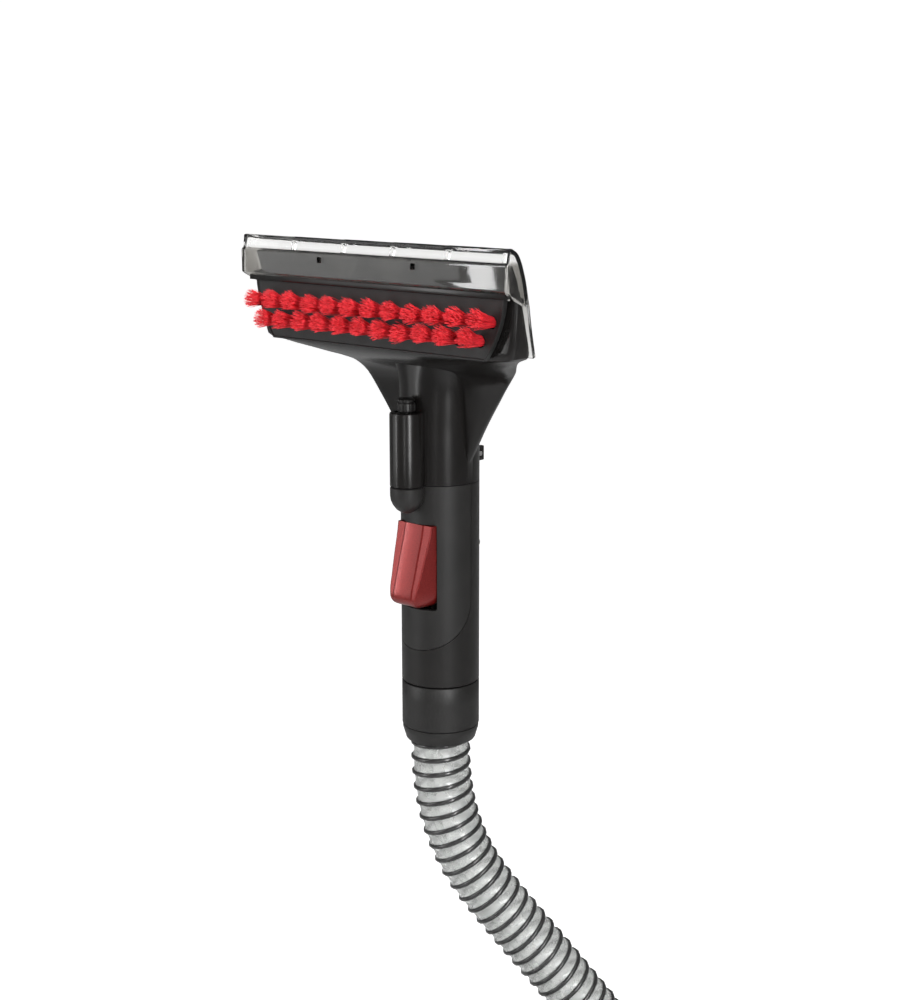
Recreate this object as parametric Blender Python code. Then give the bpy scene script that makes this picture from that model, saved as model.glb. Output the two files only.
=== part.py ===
"""Hand tool of a carpet cleaner: an upholstery head on a trigger grip, with its suction hose.

Units are metres and +Z is up. The origin lies on the grip's axis at the middle of the palm.
+Z runs up the grip to the head, +X along the wide head, and the brush and trigger face -Y.
"""
import math

import bmesh
import bpy
import numpy as np
from mathutils import Vector

# ---- driving dimensions -------------------------------------------------------------
GAP = 0.0003                 # clearance between neighbouring pieces
GRIP_RADIUS = 0.0190         # grip, neck and hose cuff share one outer diameter
WALL = 0.0024                # moulded wall of the grip shells
SEAM_Z = 0.0640              # joint between the grip and the tool's neck
CUFF_TOP_Z = -0.0357         # joint between the grip and the hose cuff
CUFF_RING_Z = -0.0587        # joint between the cuff and its end ring
CUFF_END_Z = -0.0660         # where the hose leaves the cuff

HEAD_HALF_WIDTH = 0.0820     # outside of the clear nozzle, along X
NOZZLE_FRONT_Y = -0.0500     # flat front of the clear nozzle
BRUSH_FACE_Y = -0.0448
BRUSH_LOW_Z = 0.1310
BRUSH_TOP_Z = 0.1579
TUFT_PITCH = 0.0126
TUFT_LENGTH = 0.0125
TUFT_LIFT = math.radians(12.0)
TUFT_HOLE = 0.0027           # radius of the holes in the brush plate
UPPER_TUFTS = 12
UPPER_TUFT_Z = 0.1478
LOWER_TUFTS = 11
LOWER_TUFT_Z = 0.1394
PLATE_THICKNESS = 0.0020
STRIP_FRONT_Y = -0.0425      # anchor strip of the bristles, behind the plate
STRIP_BACK_Y = -0.0418

POD_Y = -0.0234              # axis of the solution coupling in front of the neck
POD_RADIUS = 0.0080
POD_LOW_Z = SEAM_Z + GAP
POD_TOP_Z = 0.0995
SPRAY_AIM = (0.0, -0.60, 0.80)        # the spray leaves towards the brush

HOSE_RADIUS = 0.0150
HOSE_HEADING = math.radians(41.0)   # the hose hangs in one upright plane, turned this far from +X
COIL_RADIUS = 0.1700
COIL_ENTRY = math.radians(52.0)     # clock angle where the hose joins the coil
COIL_EXIT = math.radians(630.0)     # clock angle where it leaves, after more than one turn
TURN_STEP = 0.0325                  # second turn beside the first
END_STEP = 0.0085                   # further step aside that clears the end connector

# Route of the hanging hose below the cuff: (sideways, down), chosen by hand.
HOSE_ROUTE = [
    (0.0000, 0.0000), (0.0000, 0.0100), (0.0042, 0.0416), (0.0163, 0.0710),
    (0.0259, 0.0851), (0.0505, 0.1166), (0.0752, 0.1481), (0.0998, 0.1797), (0.1340, 0.2235),
]

ACROSS = Vector((math.cos(HOSE_HEADING), math.sin(HOSE_HEADING), 0.0))
ASIDE = Vector((math.sin(HOSE_HEADING), -math.cos(HOSE_HEADING), 0.0))
UP = Vector((0.0, 0.0, 1.0))

# ---- finishes: colour, roughness, metallic ---------------------------------------------
BLACK_GLOSS = ((0.012, 0.012, 0.012), 0.28, 0.0)
BLACK_SATIN = ((0.022, 0.022, 0.023), 0.48, 0.0)
BLACK_RUBBER = ((0.015, 0.015, 0.015), 0.75, 0.0)
CHARCOAL_MATTE = ((0.040, 0.040, 0.042), 0.62, 0.0)
SMOKED_CLEAR = ((0.480, 0.480, 0.470), 0.12, 0.0)
HOSE_CLEAR = ((0.560, 0.570, 0.560), 0.22, 0.0)
RED_BRISTLE = ((0.720, 0.020, 0.035), 0.55, 0.0)
RED_SATIN = ((0.380, 0.022, 0.022), 0.30, 0.45)
STEEL = ((0.560, 0.560, 0.550), 0.30, 1.0)
VALVE_WHITE = ((0.700, 0.700, 0.680), 0.45, 0.0)
TUBE_CLEAR = ((0.620, 0.630, 0.620), 0.30, 0.0)
STRAP_BLACK = ((0.020, 0.020, 0.020), 0.90, 0.0)


# ---- tools ---------------------------------------------------------------------------------
def clear_scene():
    for thing in list(bpy.data.objects):
        bpy.data.objects.remove(thing)


def own_material(name, finish):
    colour, roughness, metallic = finish
    material = bpy.data.materials.new(name + "_finish")
    material.use_nodes = True
    shader = material.node_tree.nodes["Principled BSDF"]
    shader.inputs["Base Color"].default_value = (*colour, 1.0)
    shader.inputs["Roughness"].default_value = roughness
    shader.inputs["Metallic"].default_value = metallic
    return material


def make_object(name, bm, finish=None, sharp=35.0):
    """Turn a bmesh into a named object; without a finish it is a cutting tool."""
    bmesh.ops.recalc_face_normals(bm, faces=bm.faces)
    mesh = bpy.data.meshes.new(name)
    bm.to_mesh(mesh)
    bm.free()
    mesh.shade_smooth()
    mesh.set_sharp_from_angle(angle=math.radians(sharp))
    thing = bpy.data.objects.new(name, mesh)
    bpy.context.collection.objects.link(thing)
    if finish:
        mesh.materials.append(own_material(name, finish))
    else:
        thing.hide_render = True
        thing.display_type = 'WIRE'
    return thing


def combine(target, others, operation):
    """Apply Booleans of the other objects to the target and remove them."""
    for other in others:
        change = target.modifiers.new(operation.lower(), 'BOOLEAN')
        change.operation = operation
        change.solver = 'EXACT'
        change.object = other
    graph = bpy.context.evaluated_depsgraph_get()
    mesh = bpy.data.meshes.new_from_object(target.evaluated_get(graph))
    target.modifiers.clear()
    target.data = mesh
    for other in others:
        bpy.data.objects.remove(other)
    return target


def cut(target, *tools):
    return combine(target, tools, 'DIFFERENCE')


def join(target, *pieces):
    return combine(target, pieces, 'UNION')


def set_origin(thing, point):
    """Put the object's origin on its joint without moving its shape."""
    shift = Vector(point) - thing.location
    for vertex in thing.data.vertices:
        vertex.co -= shift
    thing.location = Vector(point)
    return thing


def loft(name, rings, finish=None, closed=False, sharp=35.0):
    """Skin a row of equal rings; open rows are capped and a closed row makes a torus."""
    bm = bmesh.new()
    loops = [[bm.verts.new(point) for point in ring] for ring in rings]
    pairs = list(zip(loops, loops[1:]))
    if closed:
        pairs.append((loops[-1], loops[0]))
    for low, high in pairs:
        for i in range(len(low)):
            j = (i + 1) % len(low)
            bm.faces.new((low[i], low[j], high[j], high[i]))
    if not closed:
        bm.faces.new(loops[0])
        bm.faces.new(loops[-1])
    return make_object(name, bm, finish, sharp)


def ring_points(centre, radius, sides, along=UP, start=None):
    """Points of a circle square to a direction."""
    along = Vector(along).normalized()
    first = Vector(start) if start else along.orthogonal()
    first = (first - along * first.dot(along)).normalized()
    second = along.cross(first)
    turns = [2 * math.pi * i / sides for i in range(sides)]
    centre = Vector(centre)
    return [centre + radius * (math.cos(t) * first + math.sin(t) * second) for t in turns]


def turned(name, profile, finish=None, base=(0.0, 0.0, 0.0), along=UP, sides=32):
    """Turn a closed (radius, height) outline, clear of the axis, into a ring-like solid."""
    along = Vector(along).normalized()
    start = Vector((1.0, 0.0, 0.0)) if abs(along.x) < 0.9 else UP
    base = Vector(base)
    rings = [ring_points(base + along * h, r, sides, along, start) for r, h in profile]
    return loft(name, rings, finish, closed=True)


def rod(name, profile, finish=None, base=(0.0, 0.0, 0.0), along=UP, sides=16):
    """Stack circles of (radius, height) into a solid rod with flat ends."""
    along = Vector(along).normalized()
    start = Vector((1.0, 0.0, 0.0)) if abs(along.x) < 0.9 else UP
    base = Vector(base)
    rings = [ring_points(base + along * h, r, sides, along, start) for r, h in profile]
    return loft(name, rings, finish)


def box(name, low, high, finish=None):
    bm = bmesh.new()
    bmesh.ops.create_cube(bm, size=1.0)
    for vertex in bm.verts:
        vertex.co = Vector(low[i] + (vertex.co[i] + 0.5) * (high[i] - low[i]) for i in range(3))
    return make_object(name, bm, finish)


def prism_x(name, outline, half_width, finish=None):
    """Extrude a (y, z) outline along X, with a half width that may depend on z."""
    rings = [[(side * half_width(z), y, z) for y, z in outline] for side in (-1, 1)]
    thing = loft(name, rings, finish)
    return triangulated(thing)


def prism_y(name, outline, front_y, back_y, finish=None):
    """Extrude an (x, z) outline along Y."""
    rings = [[(x, y, z) for x, z in outline] for y in (front_y, back_y)]
    return loft(name, rings, finish)


def triangulated(thing):
    bm = bmesh.new()
    bm.from_mesh(thing.data)
    bmesh.ops.triangulate(bm, faces=bm.faces)
    bm.to_mesh(thing.data)
    bm.free()
    return thing


def curve_tube(name, points, radius, finish, resolution=2):
    """Round tube along points, as a curve with a bevel and filled ends."""
    curve = bpy.data.curves.new(name, 'CURVE')
    curve.dimensions = '3D'
    curve.bevel_depth = radius
    curve.bevel_resolution = resolution
    curve.use_fill_caps = True
    spline = curve.splines.new('POLY')
    spline.points.add(len(points) - 1)
    for slot, point in zip(spline.points, points):
        slot.co = (*point, 1.0)
    curve.materials.append(own_material(name, finish))
    thing = bpy.data.objects.new(name, curve)
    bpy.context.collection.objects.link(thing)
    return thing


def smooth_through(points, count):
    """Read points from a natural cubic spline through the given ones, evenly by length."""
    points = np.array([tuple(p) for p in points], dtype=float)
    steps = np.linalg.norm(np.diff(points, axis=0), axis=1)
    at = np.concatenate(([0.0], np.cumsum(steps)))
    size = len(points)
    matrix = np.eye(size)
    right = np.zeros_like(points)
    for i in range(1, size - 1):
        matrix[i, i - 1:i + 2] = (steps[i - 1], 2 * (steps[i - 1] + steps[i]), steps[i])
        rise = (points[i + 1] - points[i]) / steps[i] - (points[i] - points[i - 1]) / steps[i - 1]
        right[i] = 6 * rise
    bend = np.linalg.solve(matrix, right)
    result = []
    for s in np.linspace(0.0, at[-1], count):
        i = min(int(np.searchsorted(at, s, side='right')) - 1, size - 2)
        h = steps[i]
        a = (at[i + 1] - s) / h
        b = (s - at[i]) / h
        curve = a * points[i] + b * points[i + 1]
        curve += ((a ** 3 - a) * bend[i] + (b ** 3 - b) * bend[i + 1]) * h * h / 6
        result.append(Vector(curve))
    return result


def coil_spring(name, base, along, radius, wire, length, turns, finish=STEEL):
    """Compression spring drawn as one round wire."""
    along = Vector(along).normalized()
    start = along.orthogonal().normalized()
    side = along.cross(start)
    points = []
    steps = int(turns * 8)
    for i in range(steps + 1):
        t = 2 * math.pi * i / 8
        height = wire + (length - 2 * wire) * i / steps
        points.append(Vector(base) + along * height
                      + radius * (math.cos(t) * start + math.sin(t) * side))
    return curve_tube(name, points, wire, finish, resolution=0)


# ---- tool head ---------------------------------------------------------------------------------
# Wing sections: height, half width, y of the side edge, front y, back y, squareness.
WING = [
    (0.0720, 0.0180, -0.0010, -0.0030, 0.0080, 2.0),
    (0.0820, 0.0232, -0.0012, -0.0032, 0.0088, 2.2),
    (0.0950, 0.0310, -0.0020, -0.0040, 0.0084, 2.3),
    (0.1050, 0.0380, -0.0027, -0.0047, 0.0066, 2.4),
    (0.1130, 0.0440, -0.0035, -0.0060, 0.0036, 2.5),
    (0.1180, 0.0492, -0.0058, -0.0105, -0.0004, 2.6),
    (0.1212, 0.0536, -0.0095, -0.0200, -0.0042, 2.8),
    (0.1250, 0.0590, -0.0160, -0.0325, -0.0100, 3.2),
    (0.1290, 0.0690, -0.0280, -0.0395, -0.0195, 4.5),
    (0.1318, 0.0770, -0.0335, -0.0415, -0.0258, 7.0),
    (0.1400, 0.0785, -0.0335, -0.0415, -0.0258, 9.0),
    (0.1585, 0.0797, -0.0335, -0.0415, -0.0258, 9.0),
]
WING_WALL = 0.0016
# Neck sections in the same form; the back slopes forward into the funnel.
NECK = [
    (SEAM_Z + GAP, GRIP_RADIUS, 0.0, -GRIP_RADIUS, GRIP_RADIUS, 2.0),
    (0.0800, GRIP_RADIUS, 0.0, -GRIP_RADIUS, GRIP_RADIUS, 2.0),
    (0.0900, GRIP_RADIUS, 0.0, -GRIP_RADIUS, 0.0172, 2.0),
    (0.1000, GRIP_RADIUS, -0.0010, -GRIP_RADIUS, 0.0128, 2.0),
    (0.1100, GRIP_RADIUS, -0.0020, -GRIP_RADIUS, 0.0068, 2.0),
    (0.1225, GRIP_RADIUS, -0.0100, -GRIP_RADIUS, -0.0070, 2.0),
]
NECK_WALL = 0.00275

# Outside of the clear nozzle in (y, z): front face, lips of the mouth, back, lower edge.
NOZZLE_OUTER = [
    (NOZZLE_FRONT_Y, 0.1618), (NOZZLE_FRONT_Y, 0.1724), (-0.0490, 0.1734), (-0.0482, 0.1778),
    (-0.0482, 0.1793), (-0.0466, 0.1796), (-0.0423, 0.1776), (-0.0396, 0.1730),
    (-0.0370, 0.1660), (-0.0343, 0.1545), (-0.0310, 0.1445), (-0.0262, 0.1320),
    (-0.0280, 0.1314), (-0.0328, 0.1440), (-0.0361, 0.1545), (-0.0470, 0.1600),
]
NOZZLE_INNER = [
    (-0.0480, 0.1500), (-0.0480, 0.1730), (-0.0464, 0.1776), (-0.0438, 0.1762),
    (-0.0415, 0.1724), (-0.0389, 0.1657), (-0.0361, 0.1543), (-0.0328, 0.1440),
    (-0.0276, 0.1303), (-0.0420, 0.1303),
]
# Dark wall of the head inside the clear nozzle, in (y, z).
LINER = [
    (-0.0381, 0.1575), (-0.0403, 0.1657), (-0.0427, 0.1716), (-0.0419, 0.1716),
    (-0.0394, 0.1657), (-0.0373, 0.1575),
]
LINER_HALF = 0.0770
# Ribs that carry it across the airway from the ledge.
LINER_RIB = [(-0.0440, 0.1590), (-0.0383, 0.1590), (-0.0393, 0.1630), (-0.0430, 0.1630)]
LINER_RIB_X = [-0.0764, -0.0380, 0.0, 0.0380, 0.0764]
LINER_RIB_HALF = 0.0006
MOUTH_LOW_Z = 0.1734
MOUTH_TOP_Z = 0.1778
MOUTH_RIBS = [-0.0476, -0.0152, 0.0152, 0.0476]
RIB_HALF = 0.0009
SNAP_X = 0.0290
SNAP_Z = 0.1697
SNAP_HALF = 0.0014
LEVER_PIVOT = (0.0, 0.0222, 0.0740)


def wing_ring(section, inset, sides=40):
    """One cross-section of the funnel: flat ovals below, rounded rectangles above."""
    z, half_width, edge_y, front_y, back_y, power = section
    half_width -= inset
    front_y += inset
    back_y -= inset
    points = []
    for i in range(sides):
        t = 2 * math.pi * (i + 0.5) / sides
        c = math.cos(t)
        s = math.sin(t)
        x = half_width * math.copysign(abs(c) ** (2 / power), c)
        reach = (back_y - edge_y) if s > 0 else (edge_y - front_y)
        points.append((x, edge_y + reach * math.copysign(abs(s) ** (2 / power), s), z))
    return points


def nozzle_half_width(z):
    """Half width of the clear nozzle, which narrows towards the fan."""
    narrowing_from = 0.1545
    slope = 0.13
    return HEAD_HALF_WIDTH - slope * max(0.0, narrowing_from - z)


def brush_outline():
    """Brush plate in (x, z): straight long edges and bowed ends."""
    top_half = 0.0768
    low_half = 0.0660
    bow = (0.0752, 0.1430)
    side = []
    for i in range(7):
        t = i / 6
        x = (1 - t) ** 2 * low_half + 2 * t * (1 - t) * bow[0] + t * t * top_half
        z = (1 - t) ** 2 * BRUSH_LOW_Z + 2 * t * (1 - t) * bow[1] + t * t * BRUSH_TOP_Z
        side.append((x, z))
    return side + [(-x, z) for x, z in reversed(side)]


def tuft_places(row):
    count = UPPER_TUFTS if row == "upper" else LOWER_TUFTS
    z = UPPER_TUFT_Z if row == "upper" else LOWER_TUFT_Z
    return [((i - (count - 1) / 2) * TUFT_PITCH, z) for i in range(count)]


def make_head_body():
    head = loft("head_body", [wing_ring(s, 0.0) for s in WING], BLACK_GLOSS)
    neck = loft("neck", [wing_ring(s, 0.0) for s in NECK])
    ledge_half = HEAD_HALF_WIDTH - 0.0030
    ledge = box("ledge", (-ledge_half, -0.0476, 0.1582), (ledge_half, -0.0390, 0.1612))
    ears = [box("ear", (s * 0.0053 - 0.0012, 0.0165, 0.0705), (s * 0.0053 + 0.0012, 0.0252, 0.0777))
            for s in (-1, 1)]
    join(head, neck, ledge, *ears)
    hollow = [wing_ring(s, WING_WALL) for s in WING[1:-1]]
    top = list(WING[-1])
    top[0] += 0.0100
    hollow.append(wing_ring(top, WING_WALL))
    cavity = loft("cavity", hollow)
    start = (SEAM_Z - 0.0010, *NECK[0][1:])
    bore = loft("bore", [wing_ring(s, NECK_WALL) for s in [start] + NECK[1:-1]])
    behind = [(y - GAP, z) for y, z in reversed(NOZZLE_INNER[5:8])]
    behind = [(-0.0283, 0.1311)] + behind + [(-0.0403, 0.1700), (0.0100, 0.1700), (0.0100, 0.1311)]
    back = prism_x("back", behind, lambda z: 0.0900)
    pin_hole = rod("pin_hole", [(0.0015, -0.0100), (0.0015, 0.0100)],
                   base=LEVER_PIVOT, along=(1.0, 0.0, 0.0), sides=12)
    slot_half = 0.0760
    mouth = box("mouth", (-slot_half, -0.0420, 0.1570), (slot_half, -0.0340, 0.1650))
    cut(head, cavity, bore, back, pin_hole, mouth)
    liner = prism_x("liner", LINER, lambda z: LINER_HALF)
    ribs = []
    for place in LINER_RIB_X:
        rib = prism_x("rib", LINER_RIB, lambda z: LINER_RIB_HALF)
        rib.location.x = place
        ribs.append(rib)
    bpy.context.view_layer.update()
    return join(head, liner, *ribs)


def make_nozzle_window():
    window = prism_x("nozzle_window", NOZZLE_OUTER, nozzle_half_width, SMOKED_CLEAR)
    wall = 0.0020
    inside = prism_x("inside", NOZZLE_INNER, lambda z: nozzle_half_width(z) - wall)
    ends = [-HEAD_HALF_WIDTH + wall + 0.0006] + MOUTH_RIBS + [HEAD_HALF_WIDTH - wall - 0.0006]
    slots = []
    for left, right in zip(ends, ends[1:]):
        slots.append(box("slot", (left + RIB_HALF, -0.0550, MOUTH_LOW_Z),
                         (right - RIB_HALF, -0.0450, MOUTH_TOP_Z)))
    snaps = [box("snap", (s * SNAP_X - SNAP_HALF, -0.0550, SNAP_Z - SNAP_HALF),
                 (s * SNAP_X + SNAP_HALF, -0.0470, SNAP_Z + SNAP_HALF)) for s in (-1, 1)]
    return cut(window, inside, *slots, *snaps)


def make_window_seal():
    return box("window_seal", (-0.0745, -0.0476, 0.1616), (0.0745, -0.0468, 0.1626), BLACK_RUBBER)


def make_brush_plate():
    plate = prism_y("brush_plate", brush_outline(), BRUSH_FACE_Y, BRUSH_FACE_Y + PLATE_THICKNESS,
                    BLACK_SATIN)
    bm = bmesh.new()
    for row in ("upper", "lower"):
        for x, z in tuft_places(row):
            low, high = [[bm.verts.new(p) for p in ring_points((x, y, z), TUFT_HOLE, 8, (0, 1, 0), UP)]
                         for y in (BRUSH_FACE_Y - 0.0050, BRUSH_FACE_Y + 0.0050)]
            for i in range(8):
                bm.faces.new((low[i], low[i - 1], high[i - 1], high[i]))
            bm.faces.new(low)
            bm.faces.new(high)
    return cut(plate, make_object("holes", bm))


def make_bristle_row(row):
    """Anchor strip behind the plate with one flared tuft through each hole."""
    places = tuft_places(row)
    z = places[0][1]
    reach = places[-1][0] + 0.0028
    strip = box("bristle_row_" + row, (-reach, STRIP_FRONT_Y, z - 0.0024),
                (reach, STRIP_BACK_Y, z + 0.0024), RED_BRISTLE)
    aim = Vector((0.0, -math.cos(TUFT_LIFT), math.sin(TUFT_LIFT)))
    bm = bmesh.new()
    for x, height in places:
        foot = Vector((x, (STRIP_FRONT_Y + STRIP_BACK_Y) / 2, height))
        neck = Vector((x, BRUSH_FACE_Y - 0.0004, height))
        tip = neck + aim * (TUFT_LENGTH - 0.0010)
        end = neck + aim * TUFT_LENGTH
        stations = [(foot, 0.0022, (0, 1, 0)), (neck, 0.0023, (0, 1, 0)),
                    (tip, 0.0044, aim), (end, 0.0034, aim)]
        loops = []
        for centre, radius, along in stations:
            direction = Vector(along) if along != (0, 1, 0) else Vector((0, -1, 0))
            loops.append([bm.verts.new(p) for p in ring_points(centre, radius, 8, direction, UP)])
        for low, high in zip(loops, loops[1:]):
            for i in range(8):
                bm.faces.new((low[i], low[i - 1], high[i - 1], high[i]))
        bm.faces.new(loops[0])
        bm.faces.new(loops[-1])
    return join(strip, make_object("tufts", bm))


def make_pod():
    pod = rod("fluid_pod", [(POD_RADIUS, POD_LOW_Z), (POD_RADIUS, POD_TOP_Z - 0.0010),
                            (POD_RADIUS - 0.0010, POD_TOP_Z)], BLACK_GLOSS, (0.0, POD_Y, 0.0), sides=24)
    neck = rod("neck_clearance", [(GRIP_RADIUS + GAP, 0.04), (GRIP_RADIUS + GAP, 0.12)], sides=40)
    bore = rod("pod_bore", [(0.0046, 0.04), (0.0046, 0.0860), (0.0026, 0.0875), (0.0026, 0.12)],
               base=(0.0, POD_Y, 0.0), sides=16)
    return cut(pod, neck, bore)


def make_spray_fitting():
    """Seal of the coupling, and the ribbed spray nozzle on top of the pod."""
    turned("pod_seal", [(0.0042, 0.0732), (0.0042, 0.0742), (0.0032, 0.0742), (0.0032, 0.0732)],
           BLACK_RUBBER, (0.0, POD_Y, 0.0), sides=16)
    fitting = rod("spray_fitting", [(0.0022, 0.0885), (0.0022, POD_TOP_Z + GAP),
                                    (0.0042, POD_TOP_Z + GAP), (0.0042, 0.1048), (0.0026, 0.1060)],
                  BLACK_SATIN, (0.0, POD_Y, 0.0), sides=24)
    grooves = []
    for i in range(8):
        turn = 2 * math.pi * (i + 0.5) / 8
        at = (0.0045 * math.cos(turn), POD_Y + 0.0045 * math.sin(turn), 0.0)
        grooves.append(rod("groove", [(0.0009, 0.1006), (0.0009, 0.1080)], base=at, sides=8))
    jet = rod("jet", [(0.0006, 0.0), (0.0006, 0.0060)], base=(0.0, POD_Y, 0.1040), along=SPRAY_AIM,
              sides=12)
    return cut(fitting, jet, *grooves)


def make_release_lever():
    """Rocker behind the neck: press the top and the hook lifts out of the grip."""
    outline = [(0.0206, 0.0500), (0.0198, 0.0506), (0.0180, 0.0512), (0.0180, 0.0532),
               (0.0204, 0.0560), (0.0208, 0.0700), (0.0218, 0.0930), (0.0224, 0.0945),
               (0.0244, 0.0940), (0.0250, 0.0920), (0.0240, 0.0760), (0.0232, 0.0560)]
    lever = prism_x("tool_release_lever", outline, lambda z: 0.0036, BLACK_SATIN)
    hole = rod("lever_hole", [(0.0012 + GAP, -0.01), (0.0012 + GAP, 0.01)],
               base=LEVER_PIVOT, along=(1.0, 0.0, 0.0), sides=12)
    cut(lever, hole)
    set_origin(lever, LEVER_PIVOT)
    rod("release_lever_pin", [(0.0012, -0.0068), (0.0012, 0.0068)], STEEL, LEVER_PIVOT,
        (1.0, 0.0, 0.0), sides=12)
    coil_spring("release_lever_spring", (0.0, 0.0193, 0.0885), (0.0, 1.0, 0.0), 0.0018, 0.0003,
                0.0019, 2.5)


# ---- grip ------------------------------------------------------------------------------------------
COVER_HALF_ANGLE = math.radians(92.0)
COVER_STRAIGHT_Z = 0.0080        # the side edges run straight down to here
COVER_ROUND = 0.0250             # height of the rounded lower end
TRIGGER_HALF = 0.0110
TRIGGER_TOP_Z = 0.0450
TRIGGER_LOW_Z = 0.0052
TRIGGER_DROP = 0.0018            # room for the low end, which swings down when it is pressed
TRIGGER_PIVOT = (0.0, -0.0095, 0.0430)
TRIGGER_BACK_Y = -0.0125
TRIGGER_EDGE_Y = -0.0158         # its flat sides end here, where they leave the cover
# Trigger sections: height, front y, half width at the front ridges, narrowing of the sides.
TRIGGER_STATIONS = [
    (TRIGGER_TOP_Z, -0.0183, 0.0108, 0.0), (0.0400, -0.0193, 0.0106, 0.0),
    (0.0300, -0.0222, 0.0099, 0.0), (0.0200, -0.0250, 0.0091, 0.0),
    (0.0130, -0.0270, 0.0084, 0.0), (0.0100, -0.0273, 0.0080, 0.0003),
    (0.0076, -0.0264, 0.0074, 0.0012), (0.0060, -0.0243, 0.0066, 0.0026),
    (TRIGGER_LOW_Z, -0.0215, 0.0056, 0.0042),
]
AIRWAY_Y = 0.0059
AIRWAY_RADIUS = 0.0102
AIRWAY_BORE = 0.0090
VALVE_Z = 0.0204
VALVE_LINE_Y = -0.0088
FEED_Z = 0.0602                  # where the solution tube enters the coupling
SCREW_X = 0.0132
SCREW_Z = 0.0330


def cover_shell(name, inner, outer, margin, finish=None):
    """Front shell with a U-shaped lower end, from rows down each column of the wall."""
    columns = 24
    rows = 8
    span = COVER_HALF_ANGLE + margin / GRIP_RADIUS
    bm = bmesh.new()
    grid = {}
    for c in range(columns + 1):
        angle = span * (2 * c / columns - 1)
        share = min(1.0, abs(angle) / span)
        low = COVER_STRAIGHT_Z - (COVER_ROUND + margin) * math.sqrt(max(0.0, 1 - share * share))
        for r in range(rows + 1):
            z = low + (SEAM_Z + 2 * margin - low) * r / rows
            for side, radius in (("in", inner), ("out", outer)):
                point = (radius * math.sin(angle), -radius * math.cos(angle), z)
                grid[c, r, side] = bm.verts.new(point)
    for c in range(columns):
        for r in range(rows):
            for side in ("in", "out"):
                bm.faces.new([grid[c + i, r + j, side] for i, j in ((0, 0), (1, 0), (1, 1), (0, 1))])
        for r in (0, rows):
            bm.faces.new([grid[c, r, "in"], grid[c + 1, r, "in"],
                          grid[c + 1, r, "out"], grid[c, r, "out"]])
    for r in range(rows):
        for c in (0, columns):
            bm.faces.new([grid[c, r, "in"], grid[c, r + 1, "in"],
                          grid[c, r + 1, "out"], grid[c, r, "out"]])
    return make_object(name, bm, finish)


def make_grip_front_cover():
    cover = cover_shell("grip_front_cover", GRIP_RADIUS - WALL, GRIP_RADIUS, 0.0, CHARCOAL_MATTE)
    boss = rod("boss", [(0.0020, 0.0517), (0.0055, 0.0532), (0.0078, 0.0567), (POD_RADIUS, 0.0592),
                        (POD_RADIUS, SEAM_Z)], base=(0.0, POD_Y, 0.0), sides=24)
    inside_wall = GRIP_RADIUS - WALL / 2
    inner_clear = rod("inner_clear", [(inside_wall, 0.03), (inside_wall, 0.08)], sides=40)
    cut(boss, inner_clear)
    ears = [box("pivot_ear", (s * 0.0126 - 0.0009, -0.0120, 0.0405),
                (s * 0.0126 + 0.0009, -0.0075, 0.0455)) for s in (-1, 1)]
    posts = [rod("screw_post", [(0.0026, -0.0105), (0.0026, 0.0003)],
                 base=(s * SCREW_X, 0.0, SCREW_Z), along=(0, 1, 0), sides=12) for s in (-1, 1)]
    join(cover, boss, *ears, *posts)
    opening = box("opening", (-TRIGGER_HALF - 0.0004, -0.0300, TRIGGER_LOW_Z - TRIGGER_DROP),
                  (TRIGGER_HALF + 0.0004, -0.0105, TRIGGER_TOP_Z + 0.0004))
    well = rod("well", [(0.0040, 0.0557), (0.0040, 0.0800)], base=(0.0, POD_Y, 0.0), sides=16)
    feed = rod("feed", [(0.0022, -0.0250), (0.0022, -0.0120)], base=(0.0, 0.0, FEED_Z),
               along=(0, 1, 0), sides=12)
    holes = [rod("post_hole", [(0.0016, -0.0075), (0.0016, 0.0050)],
                 base=(s * SCREW_X, 0.0, SCREW_Z), along=(0, 1, 0), sides=12) for s in (-1, 1)]
    pivot = rod("pivot_hole", [(0.00155, -0.0134), (0.00155, 0.0134)], base=TRIGGER_PIVOT,
                along=(1, 0, 0), sides=12)
    return cut(cover, opening, well, feed, pivot, *holes)


def make_grip_rear_shell():
    inner = GRIP_RADIUS - WALL
    profile = [(GRIP_RADIUS, SEAM_Z), (inner, SEAM_Z), (inner, CUFF_TOP_Z + GAP),
               (GRIP_RADIUS, CUFF_TOP_Z + GAP)]
    shell = turned("grip_rear_shell", profile, BLACK_SATIN, sides=48)
    front = cover_shell("front", inner - 0.002, GRIP_RADIUS + 0.002, GAP)
    cut(shell, front)
    posts = [rod("rear_post", [(0.0026, 0.0016), (0.0026, 0.0108)],
                 base=(s * SCREW_X, 0.0, SCREW_Z), along=(0, 1, 0), sides=12) for s in (-1, 1)]
    join(shell, *posts)
    holes = [rod("rear_hole", [(0.0016, 0.0), (0.0016, 0.0102), (0.0027, 0.0104), (0.0027, 0.0200)],
                 base=(s * SCREW_X, 0.0, SCREW_Z), along=(0, 1, 0), sides=12) for s in (-1, 1)]
    notch = box("notch", (-0.0042, 0.0174, 0.0490), (0.0042, 0.0220, SEAM_Z + 0.0020))
    return cut(shell, notch, *holes)


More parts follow.
